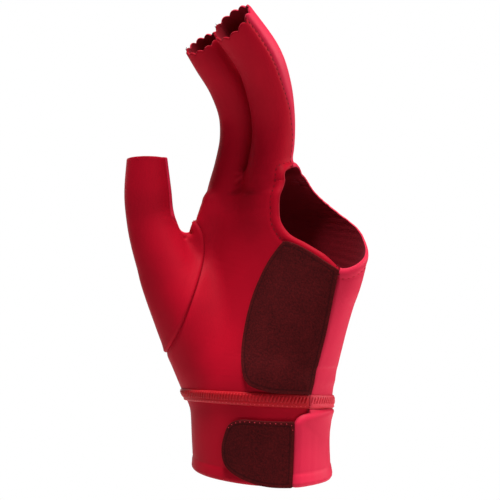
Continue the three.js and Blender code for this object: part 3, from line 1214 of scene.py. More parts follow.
def thread_tubes(middles: np.ndarray, across: np.ndarray, up: np.ndarray) -> "Shape":
    """Many short closed tubes at once.

    Args:
        middles: middle line of each tube, as tubes by rings by 3.
        across: half width of each ring as a vector, of the same shape.
        up: half height of each ring as a vector, of the same shape.

    Returns:
        All tubes as one mesh.
    """
    angle = 2 * np.pi * np.arange(STITCH_SIDES) / STITCH_SIDES
    circle = across[:, :, None] * np.cos(angle)[:, None] + up[:, :, None] * np.sin(angle)[:, None]
    points = (middles[:, :, None] + circle).reshape(-1, 3)
    return Shape(points, tube_faces(*middles.shape[:2], STITCH_SIDES))


@dataclass
class Shape:
    """A mesh in millimetres.

    Attributes:
        points: its points.
        faces: its faces.
        wrong_side: first number and end of the run of faces that show the wrong side of a cloth.
        edge: distance of each point from the nearest seam, hem or cut.
    """

    points: np.ndarray
    faces: list[tuple[int, ...]]
    wrong_side: tuple[int, int] = (0, 0)
    edge: Optional[np.ndarray] = None

    def piece(self, name: str, slot: Slot, finishes: Sequence[bpy.types.Material]) -> bpy.types.Object:
        """Makes the object, which rides on the glove's body.

        Args:
            name: name of the piece.
            slot: slot of the record that its finish stands for. It is not used.
            finishes: finish of the right side, and of the wrong side if it has one.

        Returns:
            The object, in metres.
        """
        mesh = mesh_of(name, self.points * METRES, self.faces)
        for finish in finishes:
            mesh.materials.append(finish)
        numbers = np.zeros(len(mesh.polygons), np.int32)
        numbers[self.wrong_side[0] : self.wrong_side[1]] = len(finishes) - 1
        mesh.polygons.foreach_set("material_index", numbers)
        mesh.polygons.foreach_set("use_smooth", np.ones(len(mesh.polygons), bool))
        if self.edge is not None:
            data = mesh.attributes.new(EDGE_DATA, "FLOAT", "POINT")
            data.data.foreach_set("value", self.edge.astype(np.float32))
        mesh.update()
        made = put(name, mesh)
        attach(made, BODY)
        LOG.info("%s: %d faces", name, len(self.faces))
        return made


def thickened(cloth: Cloth, top: np.ndarray, bottom: np.ndarray, edge: np.ndarray) -> Shape:
    """Cloth with a thickness and a rounded edge.

    Args:
        cloth: the sheet.
        top: height of the right side over each point.
        bottom: height of the wrong side, lower than top.
        edge: distance of each point from the nearest seam, hem or cut.

    Returns:
        The closed mesh.
    """
    count = len(cloth.points)
    outer = cloth.points + cloth.normals * top[:, None]
    inner = cloth.points + cloth.normals * bottom[:, None]
    border = cloth.border()
    used = np.unique(border)
    number = np.zeros(count, int)
    number[used] = np.arange(len(used))
    right = np.cross(unit(outer[border[:, 1]] - outer[border[:, 0]]), cloth.normals[border[:, 0]])
    push = np.zeros((count, 3))
    np.add.at(push, border[:, 0], right)
    np.add.at(push, border[:, 1], right)
    push = unit(push[used]) * (RIM_BULGE * (top - bottom)[used])[:, None]
    high = between(outer[used], inner[used], RIM_SHARE) + push
    low = between(inner[used], outer[used], RIM_SHARE) + push
    rings = [tuple(v for v in face if v >= 0) for face in cloth.faces.tolist()]
    faces = rings + [tuple(v + count for v in reversed(ring)) for ring in rings]
    for a, b in border.tolist():
        high_a, high_b = number[a] + 2 * count, number[b] + 2 * count
        low_a, low_b = high_a + len(used), high_b + len(used)
        faces.append((a, high_a, high_b, b))
        faces.append((high_a, low_a, low_b, high_b))
        faces.append((low_a, a + count, b + count, low_b))
    points = np.vstack([outer, inner, high, low])
    near = np.concatenate([edge, edge, edge[used], edge[used]])
    return Shape(points, faces, (len(rings), 2 * len(rings)), near)


@dataclass(frozen=True)
class Relief:
    """Height of a cloth over the skin, by distance from a seam, hem or cut."""

    rows: tuple[tuple[float, float], ...]

    def at(self, distance: np.ndarray) -> np.ndarray:
        """Height at each distance."""
        far, high = zip(*self.rows)
        return np.interp(distance, far, high)


# Two cloths sewn together: both edges turn in, and the cloth is full beside the seam
SEAM_RELIEF = Relief(((0, -0.5), (0.5, -0.22), (1.1, 0.06), (2.0, 0.1), (4.0, 0.0)))
# The thumb's edge lies on top of the palm's
THUMB_SEAM_RELIEF = Relief(((0, -0.05), (0.5, 0.4), (1.1, 0.5), (2.0, 0.3), (4.5, 0.0)))
UNDER_THUMB_RELIEF = Relief(((0, -0.55), (0.7, -0.4), (1.6, -0.1), (3.0, 0.0)))
# Edge folded in and stitched down
HEM_RELIEF = Relief(
    (
        (0, -0.3),
        (0.5, 0.15),
        (1.2, 0.42),
        (2.4, 0.42),
        (3.5, 0.2),
        (4.1, -0.12),
        (4.6, -0.05),
        (5.6, 0.1),
        (8, 0.0),
    )
)
# The same at the cuff, where it is thicker
CUFF_HEM_RELIEF = Relief(
    ((0, -0.1), (0.5, 0.4), (1.2, 0.65), (2.6, 0.5), (4.6, 0.25), (5.6, -0.1), (6.2, 0.0), (8, 0.0))
)
# Top edge of the strap under the wrist band
STRAP_TOP_RELIEF = Relief(((0, -0.3), (0.4, 0.1), (1.0, 0.25), (2.5, 0.1), (4.0, 0.0)))
# Edge that is only cut
CUT_RELIEF = Relief(((0, -0.15), (0.5, 0.0)))
# Patch on top of the cloth, with the groove that its stitches press in
PATCH_RELIEF = Relief(
    ((0, 0.45), (0.35, 0.95), (0.7, 1.2), (1.15, 1.2), (1.6, 0.85), (2.1, 1.25), (4, 1.6), (9, 1.8))
)
# Folded end of the strap
STRAP_RELIEF = Relief(((0, 1.3), (0.5, 2.0), (1.2, 2.5), (2.5, 2.65), (4.5, 2.3), (8, 1.8), (13, 1.5)))
# Low and top edge of the wrist band
BAND_RELIEF = Relief(((0, 0.4), (0.4, 0.9), (1.0, 1.05), (1.6, 0.9), (3.0, 0.85)))
BAND_TOP_RELIEF = Relief(((0, 0.4), (0.3, 0.75), (1.0, 0.85), (3.0, 0.85)))


# Thread

# How much of a thread's squared thickness is lost at its ends
STITCH_TAPER = 0.85
THREAD_TAPER = 0.8


@dataclass(frozen=True)
class Stitching:
    """A row of stitches.

    Attributes:
        length: length of a stitch.
        gap: space to the next one.
        thread: thickness of the thread.
        rise: height of a stitch's middle over the path.
        dip: how far its ends go down into the cloth.
    """

    length: float
    gap: float
    thread: float
    rise: float
    dip: float

    def sew(self, name: str, paths: Sequence[Path], thread: bpy.types.Material) -> bpy.types.Object:
        """Stitches along some paths.

        Args:
            name: name of the piece.
            paths: the rows.
            thread: finish of the thread.

        Returns:
            All stitches as one piece.
        """
        rows = [path.even(self.length + self.gap) for path in paths]
        along = np.vstack([row.frames()[0] for row in rows])
        points = np.vstack([row.points for row in rows])
        normals = np.vstack([row.normals for row in rows])
        across = np.cross(normals, along)
        t = np.linspace(-1, 1, STITCH_RINGS)
        high = self.rise - self.dip * t**2
        middles = points[:, None] + along[:, None] * (t * self.length / 2)[:, None]
        middles = middles + normals[:, None] * high[:, None]
        radius = (self.thread / 2 * np.sqrt(1 - STITCH_TAPER * t**2))[:, None]
        made = thread_tubes(middles, across[:, None] * radius, normals[:, None] * radius)
        return made.piece(name, Slot.THREAD, [thread])


@dataclass(frozen=True)
class Overcast:
    """Threads that run up and down across a band.

    Attributes:
        pitch: space from thread to thread. One stands for a few finer threads, too fine to show one by one.
        width: height of the band.
        spread: half width of a thread.
        bulk: half thickness of a thread.
        lean: how far its top end lies ahead of its low end.
        rise: height of its middle over the skin.
        dip: how far its ends lie lower.
    """

    pitch: float = 1.5
    width: float = 3.5
    spread: float = 0.54
    bulk: float = 0.32
    lean: float = 0.9
    rise: float = 0.95
    dip: float = 0.45

    def shape(self, form: GloveForm, path: Path) -> Shape:
        """Threads across a band that follows a path.

        Args:
            form: the form that the band lies on.
            path: middle line of the band, with the finger sleeves to its left.

        Returns:
            All threads as one mesh.
        """
        row = path.even(self.pitch)
        along, side = row.frames()
        t = np.linspace(-1, 1, STITCH_RINGS + 2)
        middles = row.points[:, None] - side[:, None] * (t * self.width / 2)[:, None]
        middles = middles + along[:, None] * (t * self.lean / 2)[:, None]
        flat = middles.reshape(-1, 3)
        for _ in range(SETTLE_ROUNDS):
            flat, normals = form.settle(flat, np.zeros(len(flat), int))
        normals = normals.reshape(middles.shape)
        middles = flat.reshape(middles.shape)
        ahead = unit(np.gradient(middles, axis=1))
        across = np.cross(normals, ahead)
        middles = middles + normals * (self.rise - self.dip * t**4)[:, None]
        slim = np.sqrt(1 - THREAD_TAPER * t**6)[:, None]
        return thread_tubes(middles, across * self.spread * slim, normals * self.bulk * slim)


# Finishes

Socket = bpy.types.NodeSocket


def linear(colour: str) -> tuple[float, float, float, float]:
    """An sRGB hex colour as linear red, green, blue and alpha."""
    parts = [int(colour[i : i + 2], 16) / 255 for i in (1, 3, 5)]
    return (*(v / 12.92 if v <= 0.04045 else ((v + 0.055) / 1.055) ** 2.4 for v in parts), 1.0)


def per_metre(size_mm: float) -> float:
    """Texture scale at which one cell or wave has a size."""
    return 1.0 / (size_mm * METRES)


class Nodes:
    """A node tree, which is emptied and drawn anew.

    Args:
        tree: the tree.
    """

    def __init__(self, tree: bpy.types.NodeTree) -> None:
        """Empties the tree."""
        self.tree = tree
        tree.nodes.clear()

    def add(self, kind: str, inputs: dict, output: int | str = 0, **settings: object) -> Optional[Socket]:
        """Adds a node.

        Args:
            kind: the node's type, after the words that every shader node's type begins with.
            inputs: values or sockets for its inputs, by name or number.
            output: name or number of the output that is wanted.
            settings: its other settings.

        Returns:
            That output, or None for a node that has none.
        """
        made = self.tree.nodes.new(f"ShaderNode{kind}")
        for key, value in settings.items():
            setattr(made, key, value)
        for key, value in inputs.items():
            if isinstance(value, Socket):
                self.tree.links.new(value, made.inputs[key])
            else:
                made.inputs[key].default_value = value
        return made.outputs[output] if len(made.outputs) else None

    def place(self) -> Socket:
        """Place on the glove."""
        return self.add("TexCoord", {}, "Object")

    def edge(self) -> Socket:
        """Distance from the nearest seam, hem or cut, in millimetres."""
        return self.add("Attribute", {}, "Fac", attribute_name=EDGE_DATA)

    def noise(self, size_mm: float, detail: float = 2.0, roughness: float = 0.5) -> Socket:
        """Noise with grains of a size."""
        scale = per_metre(size_mm)
        inputs = {"Vector": self.place(), "Scale": scale, "Detail": detail, "Roughness": roughness}
        return self.add("TexNoise", inputs, "Fac")

    def ranged(
        self,
        value: Socket,
        given: tuple[float, float],
        wanted: tuple[float, float],
        kind: str = "LINEAR",
    ) -> Socket:
        """A value brought from one range to another and held inside it.

        Args:
            value: the value.
            given: its range.
            wanted: the new range. Its first number may be the larger one.
            kind: how it passes from one end to the other.

        Returns:
            The new value.
        """
        names = ("Value", "From Min", "From Max", "To Min", "To Max")
        inputs = dict(zip(names, (value, *given, *wanted)))
        return self.add("MapRange", inputs, interpolation_type=kind)

    def mix(self, share: Socket, first: Socket | str, second: str) -> Socket:
        """A colour mixed with a share of a second one. A colour is a socket or sRGB hex."""
        first = linear(first) if isinstance(first, str) else first
        return self.add("MixRGB", {"Fac": share, "Color1": first, "Color2": linear(second)})

    def bump(self, height: Socket, strength: float, depth_mm: float, invert: bool = False) -> Socket:
        """Normal bent by a height, whose whole range is a depth in millimetres."""
        inputs = {"Strength": strength, "Distance": depth_mm * METRES, "Height": height}
        return self.add("Bump", inputs, invert=invert)


@dataclass(frozen=True)
class Finish:
    """A material with a name and a Principled shader.

    Attributes:
        name: the real material and how it was made.
    """

    name: str

    def shading(self, nodes: Nodes) -> dict:
        """Inputs of the shader, with the nodes that feed them."""
        raise NotImplementedError

    def make(self) -> bpy.types.Material:
        """The finish as a material."""
        material = bpy.data.materials.new(self.name)
        material.use_nodes = True
        nodes = Nodes(material.node_tree)
        nodes.add("OutputMaterial", {"Surface": nodes.add("BsdfPrincipled", self.shading(nodes))})
        return material


@dataclass(frozen=True)
class StretchKnit(Finish):
    """Warp-knitted polyester and elastane: fine even loops, which read as smooth satin with a soft sheen.

    Attributes:
        colour: the cloth's colour.
        deep: colour of its darker patches, and of the painted shade along seams, hems and cut edges.
        sheen_colour: colour of the sheen.
        sheen: strength of the sheen.
        roughness: roughness of the satin.
        gloss: specular level.
        uneven: how much the roughness differs from patch to patch.
        patch_mm: size of a patch.
        loop_mm: height of a loop. A real loop is about 0.35 mm, too fine to show, so it is drawn coarser.
    """

    colour: str
    deep: str
    sheen_colour: str
    sheen: float
    roughness: float
    gloss: float
    uneven: float = 0.06
    patch_mm: float = 22
    loop_mm: float = 0.75

    def shading(self, nodes: Nodes) -> dict:
        """Inputs of the shader, with the nodes that feed them."""
        scale = per_metre(self.loop_mm)
        loops = nodes.add("TexVoronoi", {"Vector": nodes.place(), "Scale": scale, "Randomness": 0.3})
        patches = nodes.noise(self.patch_mm, 3.0)
        cloth = nodes.mix(nodes.ranged(patches, (0.35, 0.7), (0.0, 0.35)), self.colour, self.deep)
        # Painted shade: within 0.8 mm of a seam, hem or cut edge the cloth is mixed up to halfway to the
        # deep colour, for the shade in the seam's groove and on the rim.
        seam = nodes.ranged(nodes.edge(), (0.0, 0.8), (0.5, 0.0), "SMOOTHSTEP")
        rough = (self.roughness - self.uneven, self.roughness + self.uneven)
        return {
            "Base Color": nodes.mix(seam, cloth, self.deep),
            "Roughness": nodes.ranged(patches, (0.0, 1.0), rough),
            "Normal": nodes.bump(loops, 0.35, 0.08, invert=True),
            "Specular IOR Level": self.gloss,
            "Sheen Weight": self.sheen,
            "Sheen Roughness": 0.45,
            "Sheen Tint": linear(self.sheen_colour),
        }


@dataclass(frozen=True)
class LoopPile(Finish):
    """Brushed nylon loop cloth: short matted pile, which reads as dark matt velvet with light specks.

    Attributes:
        colour: colour of the pile.
        light: colour of its light specks and of its lighter rim.
        dark: colour between the tufts, and of the painted shade in the stitch groove.
        matted_mm: size of a patch of matted pile.
        tuft_mm: size of a tuft. A real one is about half as large, too fine to show, so it is drawn coarser.
        groove_mm: distance from the edge of the groove that the stitches press into the pile, along which
            shade is painted.
    """

    colour: str
    light: str
    dark: str
    matted_mm: float = 7
    tuft_mm: float = 0.8
    groove_mm: float = 1.6

    def shading(self, nodes: Nodes) -> dict:
        """Inputs of the shader, with the nodes that feed them."""
        tufts = nodes.noise(self.tuft_mm, 4.0, 0.7)
        near = nodes.edge()
        past = nodes.add("Math", {0: near, 1: self.groove_mm}, operation="SUBTRACT")
        beside = nodes.add("Math", {0: past}, operation="ABSOLUTE")
        pile = nodes.mix(nodes.ranged(tufts, (0.28, 0.72), (0.0, 1.0)), self.dark, self.colour)
        brushed = nodes.ranged(nodes.noise(self.matted_mm), (0.4, 0.75), (0.0, 0.15))
        pile = nodes.mix(brushed, pile, self.light)
        # Lighter within about 1 mm of the edge.
        pile = nodes.mix(nodes.ranged(near, (0.2, 1.1), (0.15, 0.0)), pile, self.light)
        # Painted shade: a dark line along the stitch groove.
        pile = nodes.mix(nodes.ranged(beside, (0.1, 0.45), (0.6, 0.0)), pile, self.dark)
        return {
            "Base Color": pile,
            "Roughness": 0.95,
            "Normal": nodes.bump(tufts, 0.8, 0.35),
            "Specular IOR Level": 0.1,
            "Sheen Weight": 0.04,
            "Sheen Roughness": 0.6,
            "Sheen Tint": linear(self.light),
        }


@dataclass(frozen=True)
class SewingThread(Finish):
    """Twisted polyester thread: smooth plies, which catch the light more than the cloth does.

    Attributes:
        colour: the thread's colour.
        deep: colour between its plies.
        plies_mm: width of two plies side by side.
    """

    colour: str
    deep: str
    plies_mm: float = 0.6

    def shading(self, nodes: Nodes) -> dict:
        """Inputs of the shader, with the nodes that feed them."""
        plies = nodes.noise(self.plies_mm)
        return {
            "Base Color": nodes.mix(plies, self.colour, self.deep),
            "Roughness": 0.5,
            "Normal": nodes.bump(plies, 0.4, 0.1),
            "Specular IOR Level": 0.15,
        }


@dataclass(frozen=True)
class MattBoard(Finish):
    """Matt painted board: even and pale, which gives a soft shadow and no reflection.

    Attributes:
        colour: the paint's colour.
        grain_mm: size of the roller's grain.
    """

    colour: str
    grain_mm: float = 4.0

    def shading(self, nodes: Nodes) -> dict:
        """Inputs of the shader, with the nodes that feed them."""
        bump = nodes.bump(nodes.noise(self.grain_mm), 0.1, 0.1)
        return {"Base Color": linear(self.colour), "Roughness": 0.9, "Normal": bump}


class Finishes:
    """All finishes of the glove."""

    def __init__(self) -> None:
        """Makes each of them once."""
        knit = "knitted_polyester_elastane"
        twist = "twisted_polyester_thread"
        self.palm_cloth = StretchKnit(
            f"{knit}_red", "#b80c25", "#920a1e", "#ff8f9c", sheen=0.01, roughness=0.55, gloss=0.05
        ).make()
        self.back_cloth = StretchKnit(
            f"{knit}_pinkish_red", "#de2648", "#c4203c", "#ffb0bc", sheen=0.05, roughness=0.5, gloss=0.1
        ).make()
        self.wrong_side = StretchKnit(
            f"{knit}_wrong_side", "#8f1222", "#6a0c18", "#ff8f9c", sheen=0.1, roughness=0.75, gloss=0.1
        ).make()
        self.pile = LoopPile("brushed_nylon_loop_pile", "#5a0f12", "#6e181b", "#280508").make()
        self.thread = SewingThread(f"{twist}_red", "#cc1a26", "#9c101c").make()
        self.pinkish_thread = SewingThread(f"{twist}_pinkish_red", "#f0485a", "#cc2438").make()
        self.dark_thread = SewingThread(f"{twist}_dark_red", "#5a0b14", "#3c060d").make()


# Sub-assemblies of the glove

# Depth of the cloth's wrong side under the skin, and height of a patch's or the band's over it
CLOTH_DEPTH = 1.1
BED_HEIGHT = 0.15


@dataclass
class Workshop:
    """What every sub-assembly is made with.

    Attributes:
        tailor: cuts the skin.
        skin: the skin with the lines of the pattern.
        finishes: the finishes.
    """

    tailor: Tailor
    skin: Cloth
    finishes: Finishes


@dataclass(frozen=True)
class Cut:
    """One cut of a panel.

    Attributes:
        line: the line that it follows.
        sign: which side of the line is kept.
        edge: how the edge is made.
        above: distance from the line at which it is cut.
        measure: the value that the edge's relief reads, if it isn't the line itself.
    """

    line: str
    sign: float
    edge: Relief
    above: float = 0.0
    measure: str = ""


@dataclass(frozen=True)
class Panel:
    """A cloth panel of the glove.

    Attributes:
        name: name of the piece.
        node: CAD node that it stands for.
        slot: its material slot.
        cuts: the lines that it is cut along.
        flat: width and length of its pattern in metres. It is not used.
        area: flat area of its pattern in square metres. It is not used.
    """

    name: str
    node: str
    slot: Slot
    cuts: tuple[Cut, ...]
    flat: tuple[float, float]
    area: float

    def cloth(self, skin: Cloth) -> Cloth:
        """The panel's sheet, cut from the skin."""
        for cut in self.cuts:
            skin = skin.keep(cut.line, cut.sign, cut.above)
        return skin

    def heights(self, cloth: Cloth) -> tuple[np.ndarray, np.ndarray]:
        """Height of the right side over the skin, and distance from the nearest edge."""
        top = np.zeros(len(cloth.points))
        edge = np.full(len(cloth.points), NEVER)
        for cut in self.cuts:
            distance = np.abs(cloth.values[cut.measure or cut.line] - cut.above)
            rise = cut.edge.at(distance)
            top = np.where(np.abs(rise) > np.abs(top), rise, top)
            edge = np.minimum(edge, distance)
        return top, edge

    def bottom(self, cloth: Cloth) -> np.ndarray:
        """Height of the wrong side over the skin."""
        return np.full(len(cloth.points), -CLOTH_DEPTH)

    def build(self, shop: Workshop, front: bpy.types.Material) -> bpy.types.Object:
        """Cuts, thickens and dresses the panel.

        Args:
            shop: what it is made with.
            front: finish of the right side.

        Returns:
            The piece.
        """
        cloth = self.cloth(shop.skin)
        top, edge = self.heights(cloth)
        shape = thickened(cloth, top, self.bottom(cloth), edge)
        made = shape.piece(self.name, self.slot, [front, shop.finishes.wrong_side])
        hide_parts(self.node)
        LOG.info("%s: %.0f mm2", self.name, cloth.area())
        return made

    def declare(
        self,
        made: bpy.types.Object,
        rests_on: Sequence[str],
        trims: Sequence[bpy.types.Object] = (),
    ) -> None:
        """Takes the panel's piece and the pieces on it, and does nothing with them."""


HEM_CUT = Cut("covered", 1, HEM_RELIEF, measure="opening")
FINGER_CUTS = (HEM_CUT, Cut("index_end", 1, CUT_RELIEF), Cut("middle_end", 1, CUT_RELIEF))
THUMB_CUTS = (Cut("side", -1, SEAM_RELIEF), Cut("wrist", 1, CUT_RELIEF), Cut("thumb", 1, THUMB_SEAM_RELIEF))
THUMB_END_CUT = Cut("thumb_end", 1, CUT_RELIEF)


@dataclass(frozen=True)
class Body:
    """The cloth panels over palm, back, fingers and thumb, with their seams.

    Attributes:
        palm: palm cloth with the palm halves of the finger sleeves.
        back: back cloth with the back halves of the finger sleeves.
        thumb: palm half of the thumb sleeve.
        thumb_back: its back half.
        seam_stitch: stitches along the finger and side seams.
        seam_insets: distances of their two rows from the seam.
        hem_stitch: stitches of the hem round the open side.
        hem_inset: distance of those from the edge.
    """

    palm: Panel = Panel(
        "palm_cloth",
        "palm_panel",
        Slot.STRETCH,
        (
            Cut("side", -1, SEAM_RELIEF),
            Cut("wrist", 1, CUT_RELIEF),
            Cut("thumb", -1, UNDER_THUMB_RELIEF),
            *FINGER_CUTS,
        ),
        flat=(0.100, 0.165),
        area=0.0088,
    )
    back: Panel = Panel(
        "back_cloth",
        "back_panel",
        Slot.BACK,
        (Cut("side", 1, SEAM_RELIEF), Cut("band_low", 1, CUT_RELIEF), *FINGER_CUTS),
        flat=(0.110, 0.200),
        area=0.0130,
    )
    thumb: Panel = Panel(
        "thumb_cloth",
        "thumb_sleeve",
        Slot.STRETCH,
        (*THUMB_CUTS, Cut("thumb_back", -1, SEAM_RELIEF), THUMB_END_CUT),
        flat=(0.060, 0.092),
        area=0.0031,
    )
    thumb_back: Panel = Panel(
        "thumb_back_cloth",
        "thumb_sleeve",
        Slot.BACK,
        (*THUMB_CUTS, Cut("thumb_back", 1, SEAM_RELIEF), THUMB_END_CUT),
        flat=(0.040, 0.092),
        area=0.0016,
    )
    seam_stitch: Stitching = Stitching(length=1.5, gap=0.9, thread=0.3, rise=-0.1, dip=0.25)
    seam_insets: tuple[float, float] = (0.55, 1.7)
    hem_stitch: Stitching = Stitching(length=1.5, gap=1.0, thread=0.28, rise=0.02, dip=0.2)
    hem_inset: float = 4.15

    def build(self, shop: Workshop) -> None:
        """Makes the panels and the stitches on them."""
        finishes = shop.finishes
        palm = self.palm.build(shop, finishes.palm_cloth)
        back = self.back.build(shop, finishes.back_cloth)
        thumb = self.thumb.build(shop, finishes.palm_cloth)
        thumb_back = self.thumb_back.build(shop, finishes.back_cloth)
        palm_sheet = self.palm.cloth(shop.skin)
        back_sheet = self.back.cloth(shop.skin)
        rows = [path for inset in self.seam_insets for path in palm_sheet.line("side", -inset, -1)]
        seams = self.seam_stitch.sew("side_seam_stitches", rows, finishes.dark_thread)
        rows = palm_sheet.line("opening", self.hem_inset, 1)
        palm_hem = self.hem_stitch.sew("palm_hem_stitches", rows, finishes.dark_thread)
        rows = back_sheet.line("opening", self.hem_inset, 1)
        back_hem = self.hem_stitch.sew("back_hem_stitches", rows, finishes.thread)
        self.palm.declare(palm, ["back_cloth", "thumb_cloth"], [seams, palm_hem])
        self.back.declare(back, ["palm_cloth"], [back_hem])
        for panel, made in ((self.thumb, thumb), (self.thumb_back, thumb_back)):
            panel.declare(made, ["palm_cloth", "back_cloth"])


# Lift of the strap off the cuff under it, and the turns round the wrist between which it is lifted
STRAP_LIFT = 1.5
CLIMB_END = 30.0
BEHIND = -150.0


@dataclass(frozen=True)
class Strap(Panel):
    """Back of the cuff, whose folded end climbs over the palm side of the cuff."""

    def heights(self, cloth: Cloth) -> tuple[np.ndarray, np.ndarray]:
        """Height of the right side over the skin, and distance from the nearest edge."""
        top, edge = super().heights(cloth)
        fold = STRAP_RELIEF.at(cloth.values["strap"]) - STRAP_LIFT
        return top + np.where(cloth.values["near"] > 0, fold, 0.0) + self.lift(cloth), edge

    @staticmethod
    def lift(cloth: Cloth) -> np.ndarray:
        """How far the strap is lifted off the cuff under it."""
        turn = cloth.values["turn"]
        return STRAP_LIFT * (1 - smooth(0, CLIMB_END, np.where(turn < BEHIND, 180.0, turn)))

    def bottom(self, cloth: Cloth) -> np.ndarray:
        """Height of the wrong side over the skin."""
        return self.lift(cloth) - CLOTH_DEPTH


@dataclass(frozen=True)
class Cuff:
    """The cuff: cloth under the tab, and the strap that closes over it.

    Attributes:
        palm: palm side of the cuff.
        strap: back of the cuff with the strap's end.
    """

    palm: Panel = Panel(
        "cuff_palm_cloth",
        "cuff_palm",
        Slot.STRETCH,
        (Cut("side", -1, SEAM_RELIEF), Cut("wrist", -1, CUT_RELIEF), Cut("hem", 1, CUFF_HEM_RELIEF)),
        flat=(0.086, 0.036),
        area=0.0027,
    )
    strap: Strap = Strap(
        "cuff_strap_cloth",
        "cuff_strap",
        Slot.BACK,
        (
            Cut("cuff_back", 1, CUT_RELIEF),
            Cut("band_low", -1, STRAP_TOP_RELIEF, above=-0.3),
            Cut("hem", 1, CUFF_HEM_RELIEF),
        ),
        flat=(0.108, 0.032),
        area=0.0028,
    )

    def build(self, shop: Workshop) -> None:
        """Makes both panels."""
        palm = self.palm.build(shop, shop.finishes.palm_cloth)
        strap = self.strap.build(shop, shop.finishes.back_cloth)
        self.palm.declare(palm, ["palm_cloth"])
        self.strap.declare(strap, ["cuff_palm_cloth", "wrist_tab_cloth"])


@dataclass(frozen=True)
class Patch(Panel):
    """A patch of loop cloth that is sewn on top of the glove.

    Attributes:
        inset: distance of its stitches from its edge.
        stitch: those stitches.
        knots_above: height from which its edge is also caught down with small red stitches.
        knots_inset: distance of those from its edge.
        knot: those stitches.
    """

    inset: float = 1.6
    stitch: Stitching = Stitching(length=1.6, gap=0.9, thread=0.36, rise=0.95, dip=0.3)
    knots_above: float = NEVER
    knots_inset: float = 0.6
    knot: Stitching = Stitching(length=0.8, gap=1.4, thread=0.5, rise=1.7, dip=0.4)

    def cloth(self, skin: Cloth) -> Cloth:
        """The patch's sheet, cut from the skin and made finer."""
        return super().cloth(skin).refined()

    def bottom(self, cloth: Cloth) -> np.ndarray:
        """Height of the wrong side over the skin."""
        return np.full(len(cloth.points), BED_HEIGHT)

    def build(self, shop: Workshop, front: bpy.types.Material) -> bpy.types.Object:
        """Makes the patch and its stitches."""
        made = super().build(shop, front)
        line = self.cuts[0].line
        cloth = self.cloth(shop.skin)
        rows = cloth.line(line, self.inset, 1)
        sewn = [self.stitch.sew(f"{self.name}_stitches", rows, shop.finishes.dark_thread)]
        edges = [row.even(self.knots_inset) for row in cloth.line(line, self.knots_inset, 1)]
        tops = [row.part(row.points[:, 2] > self.knots_above) for row in edges]
        tops = [row for row in tops if len(row.points) > 2]
        if tops:
            sewn.append(self.knot.sew(f"{self.name}_knots", tops, shop.finishes.pinkish_thread))
        self.declare(made, ["palm_cloth", "cuff_palm_cloth"], sewn)
        return made


# Keeps a patch off the far side of the glove, which its outline also covers
PALM_SIDE_CUT = Cut("near", 1, PATCH_RELIEF, above=-20.0)
PALM_PAD = Patch(
    "palm_pad_cloth",
    "palm_pad",
    Slot.PILE,
    (
        Cut("pad", 1, PATCH_RELIEF),
        Cut("side", -1, PATCH_RELIEF, above=-0.2),
        Cut("band_top", 1, PATCH_RELIEF, above=0.4),
        PALM_SIDE_CUT,
    ),
    flat=(0.044, 0.063),
    area=0.0021,
)
WRIST_TAB = Patch(
    "wrist_tab_cloth",
    "wrist_tab",
    Slot.PILE,
    (Cut("tab", 1, PATCH_RELIEF), PALM_SIDE_CUT),
    flat=(0.032, 0.030),
    area=0.00088,
    knots_above=-9.5,
)


@dataclass(frozen=True)
class WristBand:
    """The overcast seam that joins palm and back cloth to the cuff.

    Attributes:
        middle: line that its threads are centred on.
        threads: the threads across it.
        slit: half width of the slit at its ends.
        thread_slit: the same for the threads' middles.
        stitch: stitches along its low edge.
        inset: distance of those from the edge.
        row_step: distance between the points of the middle line.
    """

    middle: Level = Level(0.6, 0.125, -0.045)
    threads: Overcast = Overcast()
    slit: float = 0.2
    thread_slit: float = 1.2
    stitch: Stitching = Stitching(length=0.8, gap=1.1, thread=0.3, rise=1.0, dip=0.2)
    inset: float = 0.8
    row_step: float = 0.5

    def build(self, shop: Workshop) -> None:
        """Makes the palm and the back part."""
        row = shop.tailor.loop(shop.skin, self.middle).even(self.row_step)
        behind = shop.tailor.pattern.behind_seam(row.points)
        parts = (
            ("palm", -1, "wrist_seam_palm", shop.finishes.thread),
            ("back", 1, "wrist_seam_back", shop.finishes.pinkish_thread),
        )
        for word, sign, node, thread in parts:
            sheet = shop.skin.keep("band_low").keep("band_top", -1).keep("side", sign, sign * self.slit)
            low, high = np.abs(sheet.values["band_low"]), np.abs(sheet.values["band_top"])
            edge = np.minimum(np.minimum(low, high), np.abs(sheet.values["side"]))
            top = np.where(high < low, BAND_TOP_RELIEF.at(edge), BAND_RELIEF.at(edge))
            shape = thickened(sheet, top, np.full(len(edge), BED_HEIGHT), edge)
            band = shape.piece(f"wrist_band_{word}", Slot.THREAD, [thread])
            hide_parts(node)
            wound = self.threads.shape(shop.tailor.form, row.part(sign * behind > self.thread_slit))
            wound.piece(f"wrist_band_{word}_threads", Slot.THREAD, [thread])
            rows = sheet.line("band_low", self.inset, 1)
            self.stitch.sew(f"wrist_band_{word}_stitches", rows, shop.finishes.pinkish_thread)


# Studio

SENSOR_MM = 36.0
CLIP_M = (0.01, 20.0)
FLOOR_POINTS = 96


@dataclass(frozen=True)
class Light:
    """A soft light from far away.

    Attributes:
        name: its name.
        direction: where it comes from: right, up and back as the camera sees them.
        strength: its irradiance.
        spread: its angular size in degrees.
    """

    name: str
    direction: tuple[float, float, float]
    strength: float
    spread: float


